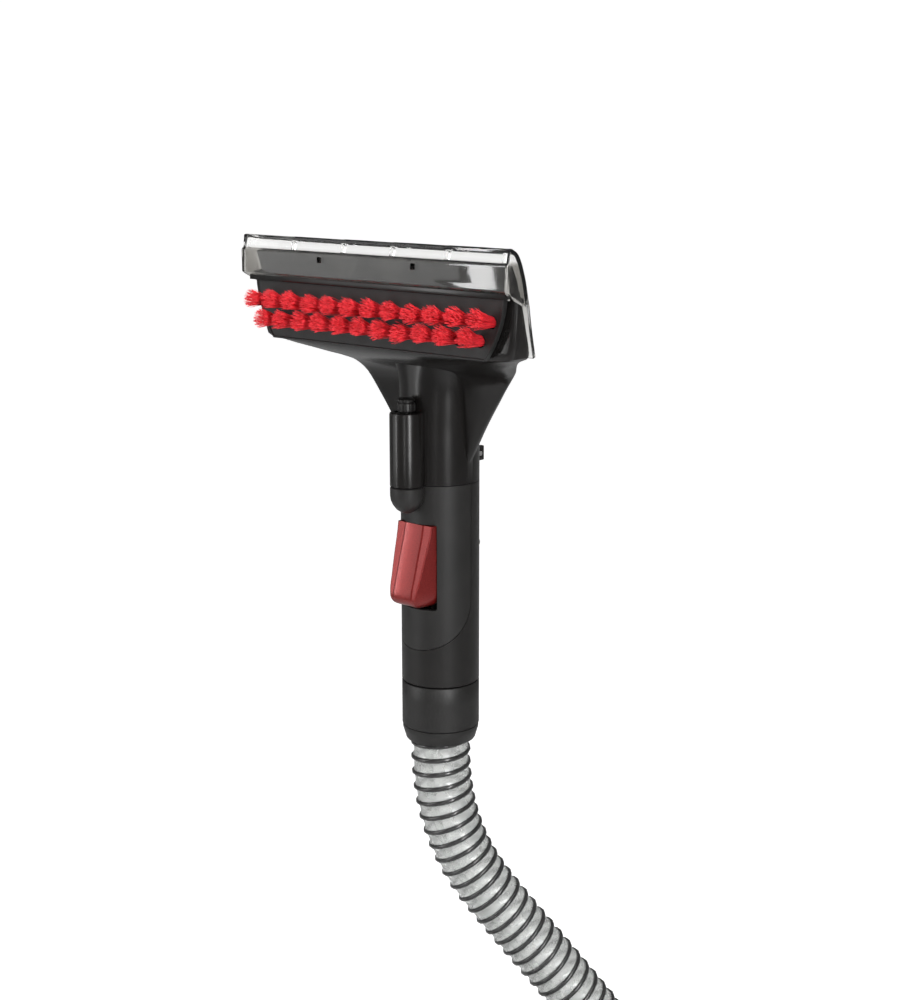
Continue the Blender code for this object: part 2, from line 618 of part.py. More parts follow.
def make_airway():
    """Suction tube of the grip: spigot for the tool, offset middle, collar for the swivel."""
    stations = [(-0.0340, 0.0, 0.0134), (-0.0270, 0.0, 0.0134), (-0.0160, AIRWAY_Y, AIRWAY_RADIUS),
                (0.0620, AIRWAY_Y, AIRWAY_RADIUS), (0.0690, 0.0, 0.0156), (0.0810, 0.0, 0.0156)]
    wall = AIRWAY_RADIUS - AIRWAY_BORE
    outside = [ring_points((0.0, y, z), r, 32, UP, (1, 0, 0)) for z, y, r in stations]
    inside = [ring_points((0.0, y, z), r - wall, 32, UP, (1, 0, 0)) for z, y, r in reversed(stations)]
    tube = loft("grip_airway_tube", outside + inside, BLACK_SATIN, closed=True)
    passage = rod("line_passage", [(0.0024, -0.0400), (0.0024, -0.0100)],
                  base=(0.0, VALVE_LINE_Y, 0.0), sides=12)
    return cut(tube, passage)


def make_trigger():
    """Hollow lever that stands further out of the cover towards its low end."""
    cavity_floor = 6
    rings = []
    for z, front, ridge, narrow in TRIGGER_STATIONS:
        half = TRIGGER_HALF - narrow
        edge = max(TRIGGER_EDGE_Y, front + 0.0024)
        left = [(-half, TRIGGER_BACK_Y, z), (-half, edge, z), (-ridge, front + 0.0003, z)]
        rings.append(left + [(0.0, front, z)] + [(-x, y, h) for x, y, h in reversed(left)])
    trigger = loft("trigger", rings, RED_SATIN)
    cavity_rings = []
    for z, front, ridge, narrow in TRIGGER_STATIONS[:cavity_floor]:
        half = min(TRIGGER_HALF - narrow, ridge + 0.0012) - 0.0020
        cavity_rings.append([(-half, -0.0100, z), (-half, front + 0.0034, z), (half, front + 0.0034, z),
                             (half, -0.0100, z)])
    cavity_rings[0] = [(x, y, z - 0.0022) for x, y, z in cavity_rings[0]]
    cut(trigger, loft("trigger_cavity", cavity_rings))
    lugs = []
    for side in (-1, 1):
        reach = sorted((side * 0.0084, side * 0.0109))
        lugs.append(rod("lug", [(0.0024, reach[0]), (0.0024, reach[1])], base=TRIGGER_PIVOT,
                        along=(1, 0, 0), sides=12))
        lugs.append(box("arm", (reach[0], -0.0140, 0.0410), (reach[1], -0.0095, 0.0450)))
    rib = box("push_rib", (-0.0022, -0.0225, 0.0180), (0.0022, -0.01610, 0.0228))
    join(trigger, *lugs, rib)
    pivot = rod("trigger_pivot_hole", [(0.0015, -0.0130), (0.0015, 0.0130)], base=TRIGGER_PIVOT,
                along=(1, 0, 0), sides=12)
    line_notch = box("line_notch", (-0.0030, -0.0160, 0.0040), (0.0030, -0.0110, 0.0100))
    cut(trigger, pivot, line_notch)
    return set_origin(trigger, TRIGGER_PIVOT)


def make_valve():
    body = turned("valve_body", [(0.0044, -0.0130), (0.0029, -0.0130), (0.0029, -0.0058),
                                 (0.0012, -0.0056), (0.0012, -0.0047), (0.0044, -0.0047)],
                  VALVE_WHITE, (0.0, 0.0, VALVE_Z), (0.0, 1.0, 0.0), sides=20)
    nipples = [rod("nipple", [(0.0015, 0.0038), (0.0015, 0.0070)],
                   base=(0.0, VALVE_LINE_Y, VALVE_Z), along=(0, 0, s), sides=12) for s in (-1, 1)]
    join(body, *nipples)
    plunger = rod("valve_plunger", [(0.0014, -0.0158), (0.0014, -0.0104), (0.0026, -0.0102),
                                    (0.0026, -0.0092)], STEEL, (0.0, 0.0, VALVE_Z),
                  (0.0, 1.0, 0.0), sides=16)
    set_origin(plunger, (0.0, -0.0158, VALVE_Z))
    coil_spring("valve_spring", (0.0, -0.0090, VALVE_Z), (0.0, 1.0, 0.0), 0.0020, 0.00025, 0.0030, 3)


def make_grip_lines():
    lower_top = VALVE_Z - 0.0073
    steps = [(0.0, VALVE_LINE_Y, lower_top + (-0.0355 - lower_top) * i / 4) for i in range(5)]
    curve_tube("solution_tube_lower", steps, 0.0020, TUBE_CLEAR)
    route = [(0.0, VALVE_LINE_Y, VALVE_Z + 0.0073), (0.0004, -0.0086, 0.0300), (0.0045, -0.0064, 0.0340),
             (0.0078, -0.0047, 0.0375), (0.0080, -0.0046, 0.0440), (0.0078, -0.0048, 0.0520),
             (0.0064, -0.0064, 0.0578), (0.0026, -0.0110, FEED_Z), (0.0, -0.0150, FEED_Z),
             (0.0, -0.0190, FEED_Z)]
    curve_tube("solution_tube_upper", smooth_through(route, 20), 0.0018, TUBE_CLEAR)
    rod("fluid_connector_pin", [(0.0036, 0.0560), (0.0036, 0.0637), (0.0028, 0.0640),
                                (0.0028, 0.0762), (0.0016, 0.0777)], VALVE_WHITE, (0.0, POD_Y, 0.0),
        sides=16)


def make_grip_hardware():
    rod("trigger_pivot_pin", [(0.0012, -0.0132), (0.0012, 0.0132)], STEEL, TRIGGER_PIVOT,
        (1.0, 0.0, 0.0), sides=12)
    coil_spring("trigger_spring", Vector(TRIGGER_PIVOT) - Vector((0.0030, 0.0, 0.0)),
                (1.0, 0.0, 0.0), 0.0019, 0.0003, 0.0060, 5)
    for side, name in ((-1, "grip_screw_left"), (1, "grip_screw_right")):
        rod(name, [(0.0012, -0.0068), (0.0012, 0.0106), (0.0023, 0.0107), (0.0023, 0.0120),
                   (0.0018, 0.0124)], STEEL, (side * SCREW_X, 0.0, SCREW_Z), (0, 1, 0), sides=12)
    turned("neck_seal", [(0.0159, 0.0725), (0.0160, 0.0730), (0.0159, 0.0735), (0.01585, 0.0730)],
           BLACK_RUBBER, sides=32)
    turned("swivel_seal", [(0.0145, -0.0310), (0.0145, -0.0300), (0.0137, -0.0300),
                           (0.0137, -0.0310)], BLACK_RUBBER, sides=32)


# ---- hose -------------------------------------------------------------------------------------------
HOSE_START = Vector((0.0, 0.0, CUFF_END_Z - GAP))
COIL_CENTRE = (HOSE_START + ACROSS * (HOSE_ROUTE[-1][0] - COIL_RADIUS * math.sin(COIL_ENTRY))
               - UP * (HOSE_ROUTE[-1][1] + COIL_RADIUS * math.cos(COIL_ENTRY)))


def eased(value, low, high):
    """Smooth step from 0 to 1 between two limits."""
    share = min(1.0, max(0.0, (value - low) / (high - low)))
    return share * share * (3 - 2 * share)


def coil_aside(clock):
    """How far the hose stands out of the first turn's plane at a clock angle."""
    second = TURN_STEP * eased(clock, math.radians(285), math.radians(380))
    return second + END_STEP * eased(clock, math.radians(560), math.radians(625))


def coil_point(clock, radius, aside):
    return (COIL_CENTRE + ACROSS * (radius * math.sin(clock)) + UP * (radius * math.cos(clock))
            + ASIDE * aside)


COIL_END = coil_point(COIL_EXIT, COIL_RADIUS, coil_aside(COIL_EXIT))


def make_hose_end():
    turned("hose_cuff", [(0.0190, CUFF_RING_Z + GAP), (0.0190, CUFF_TOP_Z - 0.0008),
                         (0.0184, CUFF_TOP_Z - GAP), (0.0162, CUFF_TOP_Z - GAP), (0.0162, -0.0290),
                         (0.0148, -0.0290), (0.0148, -0.0372), (0.0156, -0.0380),
                         (0.0156, CUFF_RING_Z + GAP)], CHARCOAL_MATTE, sides=48)
    turned("cuff_ring", [(0.0187, CUFF_RING_Z), (0.0187, CUFF_RING_Z - 0.0020),
                         (0.0170, CUFF_END_Z), (0.0156, CUFF_END_Z), (0.0156, CUFF_RING_Z)],
           CHARCOAL_MATTE, sides=48)
    turned("hose_sleeve", [(0.0153, CUFF_END_Z), (0.0153, -0.0384), (0.0130, -0.0384),
                           (0.0130, CUFF_END_Z)], BLACK_RUBBER, sides=32)
    steps = [(0.0, VALVE_LINE_Y, -0.0358 - 0.0300 * i / 3) for i in range(4)]
    curve_tube("solution_line", steps, 0.0020, TUBE_CLEAR)


def make_hose_run():
    route = [HOSE_START + ACROSS * side - UP * down for side, down in HOSE_ROUTE]
    curve_tube("hose_run", smooth_through(route, 16), HOSE_RADIUS, HOSE_CLEAR, resolution=4)


def make_hose_coil():
    """Outer shape of the coil: one turned ring, wider where the second turn lies beside it."""
    clocks = [math.radians(a) for a in range(18, 271, 9)]
    wide = [(clock, coil_aside(clock + 2 * math.pi)) for clock in clocks]
    narrow = [(math.radians(a), 0.0) for a in [270.02] + list(range(279, 378, 9))]
    rings = []
    for clock, aside in wide + narrow:
        low = -HOSE_RADIUS
        high = aside + HOSE_RADIUS
        corner = 0.005
        inner = COIL_RADIUS - HOSE_RADIUS
        outer = COIL_RADIUS + HOSE_RADIUS
        outline = [(inner, low + corner), (inner + corner, low), (outer - corner, low),
                   (outer, low + corner), (outer, high - corner), (outer - corner, high),
                   (inner + corner, high), (inner, high - corner)]
        rings.append([coil_point(clock, r, n) for r, n in outline])
    coil = loft("hose_coil", rings, HOSE_CLEAR, closed=True)
    entry = coil_point(COIL_ENTRY, COIL_RADIUS, 0.0)
    back = ACROSS * math.cos(COIL_ENTRY) - UP * math.sin(COIL_ENTRY)
    groove = rod("groove", [(HOSE_RADIUS + GAP, -0.1600), (HOSE_RADIUS + GAP, GAP)],
                 base=entry, along=back, sides=24)
    return cut(coil, groove)


def make_tie(name, clock):
    """Strap round both turns of the coil at one clock angle."""
    aside = coil_aside(clock + 2 * math.pi)
    half_width = 0.0100
    loose = 0.0011
    thick = 0.0018
    centre_n = aside / 2
    half_n = aside / 2 + HOSE_RADIUS
    rings = []
    for i in range(24):
        t = 2 * math.pi * (i + 0.5) / 24
        c = math.cos(t)
        s = math.sin(t)
        ring = []
        for extra, along in ((loose, -1), (loose + thick, -1), (loose + thick, 1), (loose, 1)):
            r = (HOSE_RADIUS + extra) * math.copysign(abs(c) ** 0.28, c)
            n = (half_n + extra) * math.copysign(abs(s) ** 0.28, s)
            swing = along * half_width / COIL_RADIUS
            ring.append(coil_point(clock + swing, COIL_RADIUS + r, centre_n + n))
        rings.append(ring)
    return loft(name, rings, STRAP_BLACK, closed=True)


def make_machine_end():
    """Cuff, connector, seal, solution port and latch at the hose's far end."""
    turned("machine_cuff", [(0.0178, GAP), (0.0186, 0.0020), (0.0186, 0.0280), (0.0130, 0.0280),
                            (0.0130, GAP)], CHARCOAL_MATTE, COIL_END, sides=32)
    body = turned("machine_connector", [(0.0215, 0.0283), (0.0215, 0.0340), (0.0165, 0.0345),
                                        (0.0165, 0.0640), (0.0150, 0.0660), (0.0150, 0.0850),
                                        (0.0120, 0.0850), (0.0120, 0.0283)],
                  BLACK_SATIN, COIL_END, sides=32)
    port_axis = COIL_END - ACROSS * 0.0235
    port = rod("port", [(0.0060, 0.0300), (0.0060, 0.0640)], base=port_axis, sides=16)
    turn = [(-0.0190, -0.0070), (-0.0190, 0.0070), (0.0080, 0.0070), (0.0080, -0.0070)]
    bridge_low = [COIL_END - ACROSS * 0.0140 + ACROSS * a * 0.4 + ASIDE * b * 0.5 + UP * 0.0300
                  for a, b in turn]
    bridge = loft("bridge", [bridge_low, [p + UP * 0.0300 for p in bridge_low]])
    frame = latch_block("frame", 0.0070, 0.0360, 0.0590, 0.0140, 0.0200)
    join(body, port, bridge, frame)
    bore = rod("bore", [(0.0120, 0.0200), (0.0120, 0.0900)], base=COIL_END, sides=32)
    port_bore = rod("port_bore", [(0.0032, 0.0340), (0.0032, 0.0700)], base=port_axis, sides=16)
    pocket = latch_block("pocket", 0.0055, 0.0375, 0.0575, 0.0170, 0.0300)
    cut(body, bore, port_bore, pocket)
    turned("connector_seal", [(0.0166, 0.0742), (0.0172, 0.0750), (0.0166, 0.0758), (0.0153, 0.0756),
                              (0.0153, 0.0744)], BLACK_RUBBER, COIL_END, sides=32)
    rod("solution_nipple", [(0.0028, 0.0344), (0.0028, 0.0620), (0.0020, 0.0622), (0.0020, 0.0720),
                            (0.0012, 0.0730)], VALVE_WHITE, port_axis, sides=16)
    latch = latch_block("connector_latch", 0.0051, 0.0379, 0.0571, 0.0190, 0.0218, BLACK_GLOSS)
    set_origin(latch, COIL_END + ASIDE * 0.0190 + UP * 0.0475)
    coil_spring("latch_spring", COIL_END + ASIDE * 0.0172 + UP * 0.0475, ASIDE, 0.0022, 0.0002,
                0.0016, 2)


def latch_block(name, half, low, high, near, far, finish=None):
    """Block on the connector's outer side, square to the coil's plane."""
    rings = []
    for aside in (near, far):
        rings.append([COIL_END + ACROSS * a + UP * z + ASIDE * aside
                      for a, z in ((-half, low), (half, low), (half, high), (-half, high))])
    return loft(name, rings, finish)


# ---- assembly -----------------------------------------------------------------------------------------
def build():
    clear_scene()
    make_head_body()
    make_nozzle_window()
    make_window_seal()
    make_brush_plate()
    make_bristle_row("upper")
    make_bristle_row("lower")
    make_pod()
    make_spray_fitting()
    make_release_lever()
    make_grip_front_cover()
    make_grip_rear_shell()
    make_airway()
    make_trigger()
    make_valve()
    make_grip_lines()
    make_grip_hardware()
    make_hose_end()
    make_hose_run()
    make_hose_coil()
    make_tie("hose_tie_left", math.radians(238.0))
    make_tie("hose_tie_right", math.radians(122.0))
    make_machine_end()


build()
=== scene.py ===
"""Looks of the carpet cleaner's hand tool: fine meshes, finishes, light and camera."""
import math

import bmesh
import bpy
import numpy as np
from mathutils import Matrix, Vector


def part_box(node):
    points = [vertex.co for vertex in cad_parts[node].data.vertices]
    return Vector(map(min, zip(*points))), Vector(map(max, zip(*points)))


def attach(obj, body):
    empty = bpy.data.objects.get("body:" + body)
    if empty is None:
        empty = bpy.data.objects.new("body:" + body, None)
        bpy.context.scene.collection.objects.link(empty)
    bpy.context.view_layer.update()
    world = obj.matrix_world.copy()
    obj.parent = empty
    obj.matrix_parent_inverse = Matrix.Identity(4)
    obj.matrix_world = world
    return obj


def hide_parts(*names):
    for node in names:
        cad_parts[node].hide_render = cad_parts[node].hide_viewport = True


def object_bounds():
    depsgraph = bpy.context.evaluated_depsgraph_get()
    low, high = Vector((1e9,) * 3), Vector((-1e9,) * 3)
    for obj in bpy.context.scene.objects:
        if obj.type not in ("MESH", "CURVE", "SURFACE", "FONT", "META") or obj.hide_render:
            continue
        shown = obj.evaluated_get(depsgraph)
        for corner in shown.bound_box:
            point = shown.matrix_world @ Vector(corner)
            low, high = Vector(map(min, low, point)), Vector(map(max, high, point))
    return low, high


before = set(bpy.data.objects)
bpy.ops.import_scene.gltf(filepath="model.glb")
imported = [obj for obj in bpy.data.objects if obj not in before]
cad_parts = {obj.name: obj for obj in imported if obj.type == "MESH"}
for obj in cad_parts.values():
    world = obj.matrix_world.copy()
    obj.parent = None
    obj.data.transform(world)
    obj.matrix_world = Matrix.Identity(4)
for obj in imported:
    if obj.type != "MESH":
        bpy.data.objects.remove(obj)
cad_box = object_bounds()

UP = Vector((0.0, 0.0, 1.0))
RNG = np.random.default_rng(7)

# ---- sizes, read from the frame or repeated from the part -------------------------------
GAP = 0.0003
GRIP_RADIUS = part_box("grip_rear_shell")[1][0]
SEAM_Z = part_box("grip_rear_shell")[1][2]
CUFF_TOP_Z = -0.0357
CUFF_RING_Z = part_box("cuff_ring")[1][2]
CUFF_END_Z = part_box("cuff_ring")[0][2]
WALL = 0.0024
POD_Y = -0.0234
POD_RADIUS = 0.0080
POD_LOW_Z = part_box("fluid_pod")[0][2]
POD_TOP_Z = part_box("fluid_pod")[1][2]
HOSE_RADIUS = 0.0150

# ---- light, camera, floor ---------------------------------------------------------------
VIEW_TURN = math.radians(41.0)      # the camera stands this far round from the brush side
VIEW_PITCH = math.radians(12.47)
CAMERA_AT = Vector((0.5175, -0.5792, 0.2253))
TOWARDS_CAMERA = Vector((math.sin(VIEW_TURN), -math.cos(VIEW_TURN), 0.0))
CAMERA_RIGHT = Vector((math.cos(VIEW_TURN), math.sin(VIEW_TURN), 0.0))
FLOOR_Z = cad_box[0][2] - 0.0005
FLOOR_FLAT = 4.5                    # radius of the level part
FLOOR_SWEEP = 3.0                   # radius of the curve up to the wall
FLOOR_TOP = 9.0
FLOOR_GLOW = 0.80
DIM_WORLD = 0.36                    # the surroundings as the object's shading sees them
# Name, turn, height, distance, size, power and the height it aims at.
SOFTBOXES = [
    ("key_right", 23.0, 0.60, 1.5, (0.26, 1.5), 26.0, 0.06),
    ("edge_left", -70.0, 0.45, 1.5, (0.12, 1.4), 8.5, 0.06),
    ("wide_left", -86.0, 0.35, 1.6, (0.70, 1.2), 4.0, 0.06),
    ("pod_light", -12.0, 0.45, 1.6, (0.08, 1.2), 3.4, 0.06),
    ("top", 10.0, 1.7, 0.5, (1.2, 1.0), 11.0, 0.10),
]


def make_camera():
    data = bpy.data.cameras.new("photo_camera")
    data.lens = 59.4
    data.sensor_fit = 'VERTICAL'
    data.sensor_height = 36.0
    data.clip_start = 0.02
    data.clip_end = 60.0
    camera = bpy.data.objects.new("photo_camera", data)
    bpy.context.collection.objects.link(camera)
    camera.location = CAMERA_AT
    camera.rotation_euler = (math.pi / 2 - VIEW_PITCH, 0.0, VIEW_TURN)
    bpy.context.scene.camera = camera


def softbox(name, turn, height, distance, size, power, aim_z):
    """Area light at a turn from the camera's side, positive to the camera's right."""
    side = TOWARDS_CAMERA * math.cos(math.radians(turn)) + CAMERA_RIGHT * math.sin(math.radians(turn))
    data = bpy.data.lights.new(name, 'AREA')
    data.shape = 'RECTANGLE'
    data.size, data.size_y = size
    data.energy = power
    light = bpy.data.objects.new(name, data)
    bpy.context.collection.objects.link(light)
    light.location = side * distance + UP * height
    aim = Vector((0.0, 0.0, aim_z)) - light.location
    light.rotation_euler = aim.to_track_quat('-Z', 'Y').to_euler()


def seen_directly(nodes, links):
    """1 on rays from the camera and on rays through clear plastic, else 0."""
    path = nodes.new("ShaderNodeLightPath")
    either = nodes.new("ShaderNodeMath")
    either.operation = 'MAXIMUM'
    links.new(path.outputs["Is Camera Ray"], either.inputs[0])
    links.new(path.outputs["Is Transmission Ray"], either.inputs[1])
    return either.outputs["Value"]


def make_world():
    """White surroundings, dimmer for the object's own shading and reflections."""
    world = bpy.data.worlds.new("studio")
    bpy.context.scene.world = world
    world.use_nodes = True
    nodes = world.node_tree.nodes
    links = world.node_tree.links
    nodes["Background"].inputs["Color"].default_value = (1.0, 1.0, 1.0, 1.0)
    dim = nodes.new("ShaderNodeBackground")
    dim.inputs["Color"].default_value = (1.0, 1.0, 1.0, 1.0)
    dim.inputs["Strength"].default_value = DIM_WORLD
    mix = nodes.new("ShaderNodeMixShader")
    links.new(seen_directly(nodes, links), mix.inputs["Fac"])
    links.new(dim.outputs["Background"], mix.inputs[1])
    links.new(nodes["Background"].outputs["Background"], mix.inputs[2])
    links.new(mix.outputs["Shader"], nodes["World Output"].inputs["Surface"])


def make_floor():
    """Pale floor that runs up into the white surroundings far behind the object."""
    profile = [(1.0, 0.0), (3.0, 0.0), (FLOOR_FLAT, 0.0)]
    profile += [(FLOOR_FLAT + FLOOR_SWEEP * math.sin(a), FLOOR_SWEEP - FLOOR_SWEEP * math.cos(a))
                for a in np.linspace(0.1, math.pi / 2, 12)]
    profile += [(FLOOR_FLAT + FLOOR_SWEEP, FLOOR_TOP)]
    bm = bmesh.new()
    sides = 96
    rings = []
    for radius, height in profile:
        rings.append([bm.verts.new((radius * math.cos(t), radius * math.sin(t), height))
                      for t in np.arange(sides) * 2 * math.pi / sides])
    bm.faces.new(rings[0])
    for low, high in zip(rings, rings[1:]):
        for i in range(sides):
            j = (i + 1) % sides
            bm.faces.new((low[i], low[j], high[j], high[i]))
    bmesh.ops.recalc_face_normals(bm, faces=bm.faces)
    if bm.faces[:][0].normal.z < 0:
        bmesh.ops.reverse_faces(bm, faces=bm.faces)
    mesh = bpy.data.meshes.new("floor")
    bm.to_mesh(mesh)
    bm.free()
    floor = bpy.data.objects.new("floor", mesh)
    bpy.context.collection.objects.link(floor)
    floor.location.z = FLOOR_Z
    shade = new_material("floor_paint", (0.80, 0.80, 0.80), 0.9, Specular_IOR_Level=0.0,
                         Emission_Color=(1.0, 1.0, 1.0, 1.0))
    nodes = shade.node_tree.nodes
    links = shade.node_tree.links
    glow = nodes.new("ShaderNodeMath")
    glow.operation = 'MULTIPLY'
    glow.inputs[1].default_value = FLOOR_GLOW
    links.new(seen_directly(nodes, links), glow.inputs[0])
    links.new(glow.outputs["Value"], nodes["Principled BSDF"].inputs["Emission Strength"])
    mesh.materials.append(shade)


def make_stage():
    view = bpy.context.scene.view_settings
    view.view_transform = 'Standard'
    view.look = 'None'
    make_world()
    make_floor()
    for light in SOFTBOXES:
        softbox(*light)


# ---- finishes --------------------------------------------------------------------------
def new_material(name, colour, roughness, metallic=0.0, **sockets):
    """Principled material; more sockets are given by name, with _ for a space."""
    material = bpy.data.materials.new(name)
    material.use_nodes = True
    shader = material.node_tree.nodes["Principled BSDF"]
    shader.inputs["Base Color"].default_value = (*colour, 1.0)
    shader.inputs["Roughness"].default_value = roughness
    shader.inputs["Metallic"].default_value = metallic
    for socket, value in sockets.items():
        shader.inputs[socket.replace("_", " ")].default_value = value
    return material


def feed(material, output, socket):
    """Link a node's output to a socket of the material's shader."""
    material.node_tree.links.new(output, material.node_tree.nodes["Principled BSDF"].inputs[socket])


def noise_node(material, scale, detail=3.0, distortion=0.0, stretch=(1.0, 1.0, 1.0)):
    """Noise in the object's own metres; scale is in cells per metre."""
    nodes = material.node_tree.nodes
    links = material.node_tree.links
    coords = nodes.new("ShaderNodeTexCoord")
    mapping = nodes.new("ShaderNodeMapping")
    mapping.inputs["Scale"].default_value = stretch
    noise = nodes.new("ShaderNodeTexNoise")
    noise.inputs["Scale"].default_value = scale
    noise.inputs["Detail"].default_value = detail
    noise.inputs["Distortion"].default_value = distortion
    links.new(coords.outputs["Object"], mapping.inputs["Vector"])
    links.new(mapping.outputs["Vector"], noise.inputs["Vector"])
    return noise


def vary_colour(material, noise, dark, light, low=0.35, high=0.65):
    ramp = material.node_tree.nodes.new("ShaderNodeValToRGB")
    ramp.color_ramp.elements[0].position = low
    ramp.color_ramp.elements[0].color = (*dark, 1.0)
    ramp.color_ramp.elements[1].position = high
    ramp.color_ramp.elements[1].color = (*light, 1.0)
    material.node_tree.links.new(noise.outputs["Fac"], ramp.inputs["Fac"])
    feed(material, ramp.outputs["Color"], "Base Color")


def vary_roughness(material, noise, low, high):
    span = material.node_tree.nodes.new("ShaderNodeMapRange")
    span.inputs["To Min"].default_value = low
    span.inputs["To Max"].default_value = high
    material.node_tree.links.new(noise.outputs["Fac"], span.inputs["Value"])
    feed(material, span.outputs["Result"], "Roughness")


def add_bump(material, noise, strength, depth):
    bump = material.node_tree.nodes.new("ShaderNodeBump")
    bump.inputs["Strength"].default_value = strength
    bump.inputs["Distance"].default_value = depth
    material.node_tree.links.new(noise.outputs["Fac"], bump.inputs["Height"])
    feed(material, bump.outputs["Normal"], "Normal")


def moulded(name, colour, roughness, grain, depth, specular=0.5, lift=1.35):
    """Moulded plastic: faint tone drift, uneven sheen and a fine spark-eroded grain."""
    material = new_material(name, colour, roughness, Specular_IOR_Level=specular)
    drift = noise_node(material, 55.0, 2.0)
    vary_colour(material, drift, colour, tuple(c * lift for c in colour))
    sheen = noise_node(material, 240.0, 4.0)
    vary_roughness(material, sheen, roughness * 0.88, roughness * 1.15)
    add_bump(material, noise_node(material, grain, 2.0), 0.35, depth)
    return material


def clear_plastic(name, tint, roughness, ripple=0.04):
    """Clear plastic with an uneven sheen and a slow ripple."""
    material = new_material(name, tint, roughness, Transmission_Weight=1.0, IOR=1.46)
    sheen = noise_node(material, 90.0, 3.0)
    vary_roughness(material, sheen, roughness * 0.6, roughness * 1.6)
    add_bump(material, noise_node(material, 60.0, 1.0), ripple, 0.0004)
    return material


def paint_light_by_height(material, low, high, stops):
    """Colour by height on the object, here painted light and shade: stops are (share of the way from low to
    high, colour).
    """
    nodes = material.node_tree.nodes
    links = material.node_tree.links
    coords = nodes.new("ShaderNodeTexCoord")
    split = nodes.new("ShaderNodeSeparateXYZ")
    span = nodes.new("ShaderNodeMapRange")
    span.inputs["From Min"].default_value = low
    span.inputs["From Max"].default_value = high
    ramp = nodes.new("ShaderNodeValToRGB")
    for k, (position, colour) in enumerate(stops):
        element = ramp.color_ramp.elements[k] if k < 2 else ramp.color_ramp.elements.new(position)
        element.position = position
        element.color = (*colour, 1.0)
    links.new(coords.outputs["Object"], split.inputs["Vector"])
    links.new(split.outputs["Z"], span.inputs["Value"])
    links.new(span.outputs["Result"], ramp.inputs["Fac"])
    feed(material, ramp.outputs["Color"], "Base Color")


# Name, colour, roughness, grain in cells per metre, its depth, specular level, lighter tone.
MOULDED = [
    ("black_gloss", (0.0062, 0.0056, 0.0053), 0.25, 700.0, 0.00002, 0.30),
    ("black_satin", (0.0068, 0.0062, 0.0059), 0.36, 1800.0, 0.00004, 0.30),
    ("charcoal", (0.0085, 0.0080, 0.0077), 0.42, 2600.0, 0.00010, 0.36),
    ("cuff", (0.0080, 0.0076, 0.0073), 0.44, 1400.0, 0.00016, 0.36),
    ("plate", (0.0085, 0.0085, 0.0085), 0.50, 900.0, 0.00016, 0.30),
    ("rubber", (0.0090, 0.0090, 0.0090), 0.80, 1500.0, 0.00010, 0.25),
    ("acetal", (0.62, 0.62, 0.59), 0.45, 900.0, 0.00004, 0.5, 1.08),
    ("helix", (0.016, 0.016, 0.016), 0.22, 600.0, 0.00003, 0.6),
]


def make_finishes():
    finishes = {row[0]: moulded(*row) for row in MOULDED}
    finishes["window"] = clear_plastic("window", (0.5, 0.5, 0.5), 0.05)
    # The window's tint is painted light and shade by height: a painted shade darkens the front face, a
    # painted highlight band near white lies at the mouth's height, and the tint is lighter below and at the
    # top.
    paint_light_by_height(finishes["window"], 0.1300, 0.1800,
           [(0.0, (0.82, 0.82, 0.81)), (0.84, (0.50, 0.49, 0.47)), (0.60, (0.44, 0.43, 0.41)),
            (0.88, (0.95, 0.95, 0.94)), (1.0, (0.90, 0.90, 0.89))])
    finishes["tube"] = clear_plastic("tube", (0.85, 0.87, 0.85), 0.15)
    finishes["hose"] = clear_plastic("hose", (0.78, 0.79, 0.78), 0.24, 0.10)
    finishes["hose"].node_tree.nodes["Principled BSDF"].inputs["Transmission Weight"].default_value = 0.86
    red = new_material("trigger_red", (0.20, 0.010, 0.008), 0.32, 0.55, Coat_Weight=0.25,
                       Coat_Roughness=0.20)
    flake = noise_node(red, 2600.0, 1.0)
    vary_colour(red, flake, (0.150, 0.0060, 0.0050), (0.215, 0.0120, 0.0100), 0.40, 0.62)
    add_bump(red, noise_node(red, 1500.0, 2.0), 0.15, 0.00005)
    finishes["trigger"] = red
    bristle = new_material("bristle", (0.60, 0.014, 0.024), 0.45, Specular_IOR_Level=0.4)
    vary_colour(bristle, noise_node(bristle, 900.0, 2.0, stretch=(1.0, 0.15, 1.0)),
                (0.66, 0.012, 0.022), (1.0, 0.048, 0.066))
    finishes["bristle"] = bristle
    steel = new_material("steel", (0.58, 0.58, 0.57), 0.28, 1.0)
    vary_roughness(steel, noise_node(steel, 1200.0, 3.0, stretch=(1.0, 1.0, 0.1)), 0.20, 0.42)
    finishes["steel"] = steel
    strap = new_material("strap", (0.018, 0.018, 0.018), 0.95, Sheen_Weight=0.3)
    add_bump(strap, noise_node(strap, 1900.0, 1.0), 0.8, 0.0005)
    vary_colour(strap, noise_node(strap, 1900.0, 1.0), (0.010, 0.010, 0.010), (0.035, 0.035, 0.035))
    finishes["strap"] = strap
    return finishes


# ---- mesh tools ------------------------------------------------------------------------
def finish_mesh(name, bm, material, body=None, replaces=(), slot=None, sharp=40.0, bevel=0.0):
    """Make the object, round its edges, shade it and set what it rides on and replaces."""
    bmesh.ops.recalc_face_normals(bm, faces=bm.faces)
    mesh = bpy.data.meshes.new(name)
    bm.to_mesh(mesh)
    bm.free()
    mesh.shade_smooth()
    mesh.set_sharp_from_angle(angle=math.radians(sharp))
    thing = bpy.data.objects.new(name, mesh)
    bpy.context.collection.objects.link(thing)
    if material:
        mesh.materials.append(FINISH[material])
    if bevel:
        round_edges(thing, bevel)
    if body:
        place(thing, body, replaces)
    return thing


def place(thing, body, replaces=()):
    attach(thing, body)
    if replaces:
        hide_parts(*replaces)
    return thing


def settle(thing, name, body, nodes, slot, bevel=0.0, **more):
    """Name a piece made by Booleans, round its edges and place it."""
    thing.name = name
    if bevel:
        round_edges(thing, bevel, **more)
    place(thing, body, nodes)


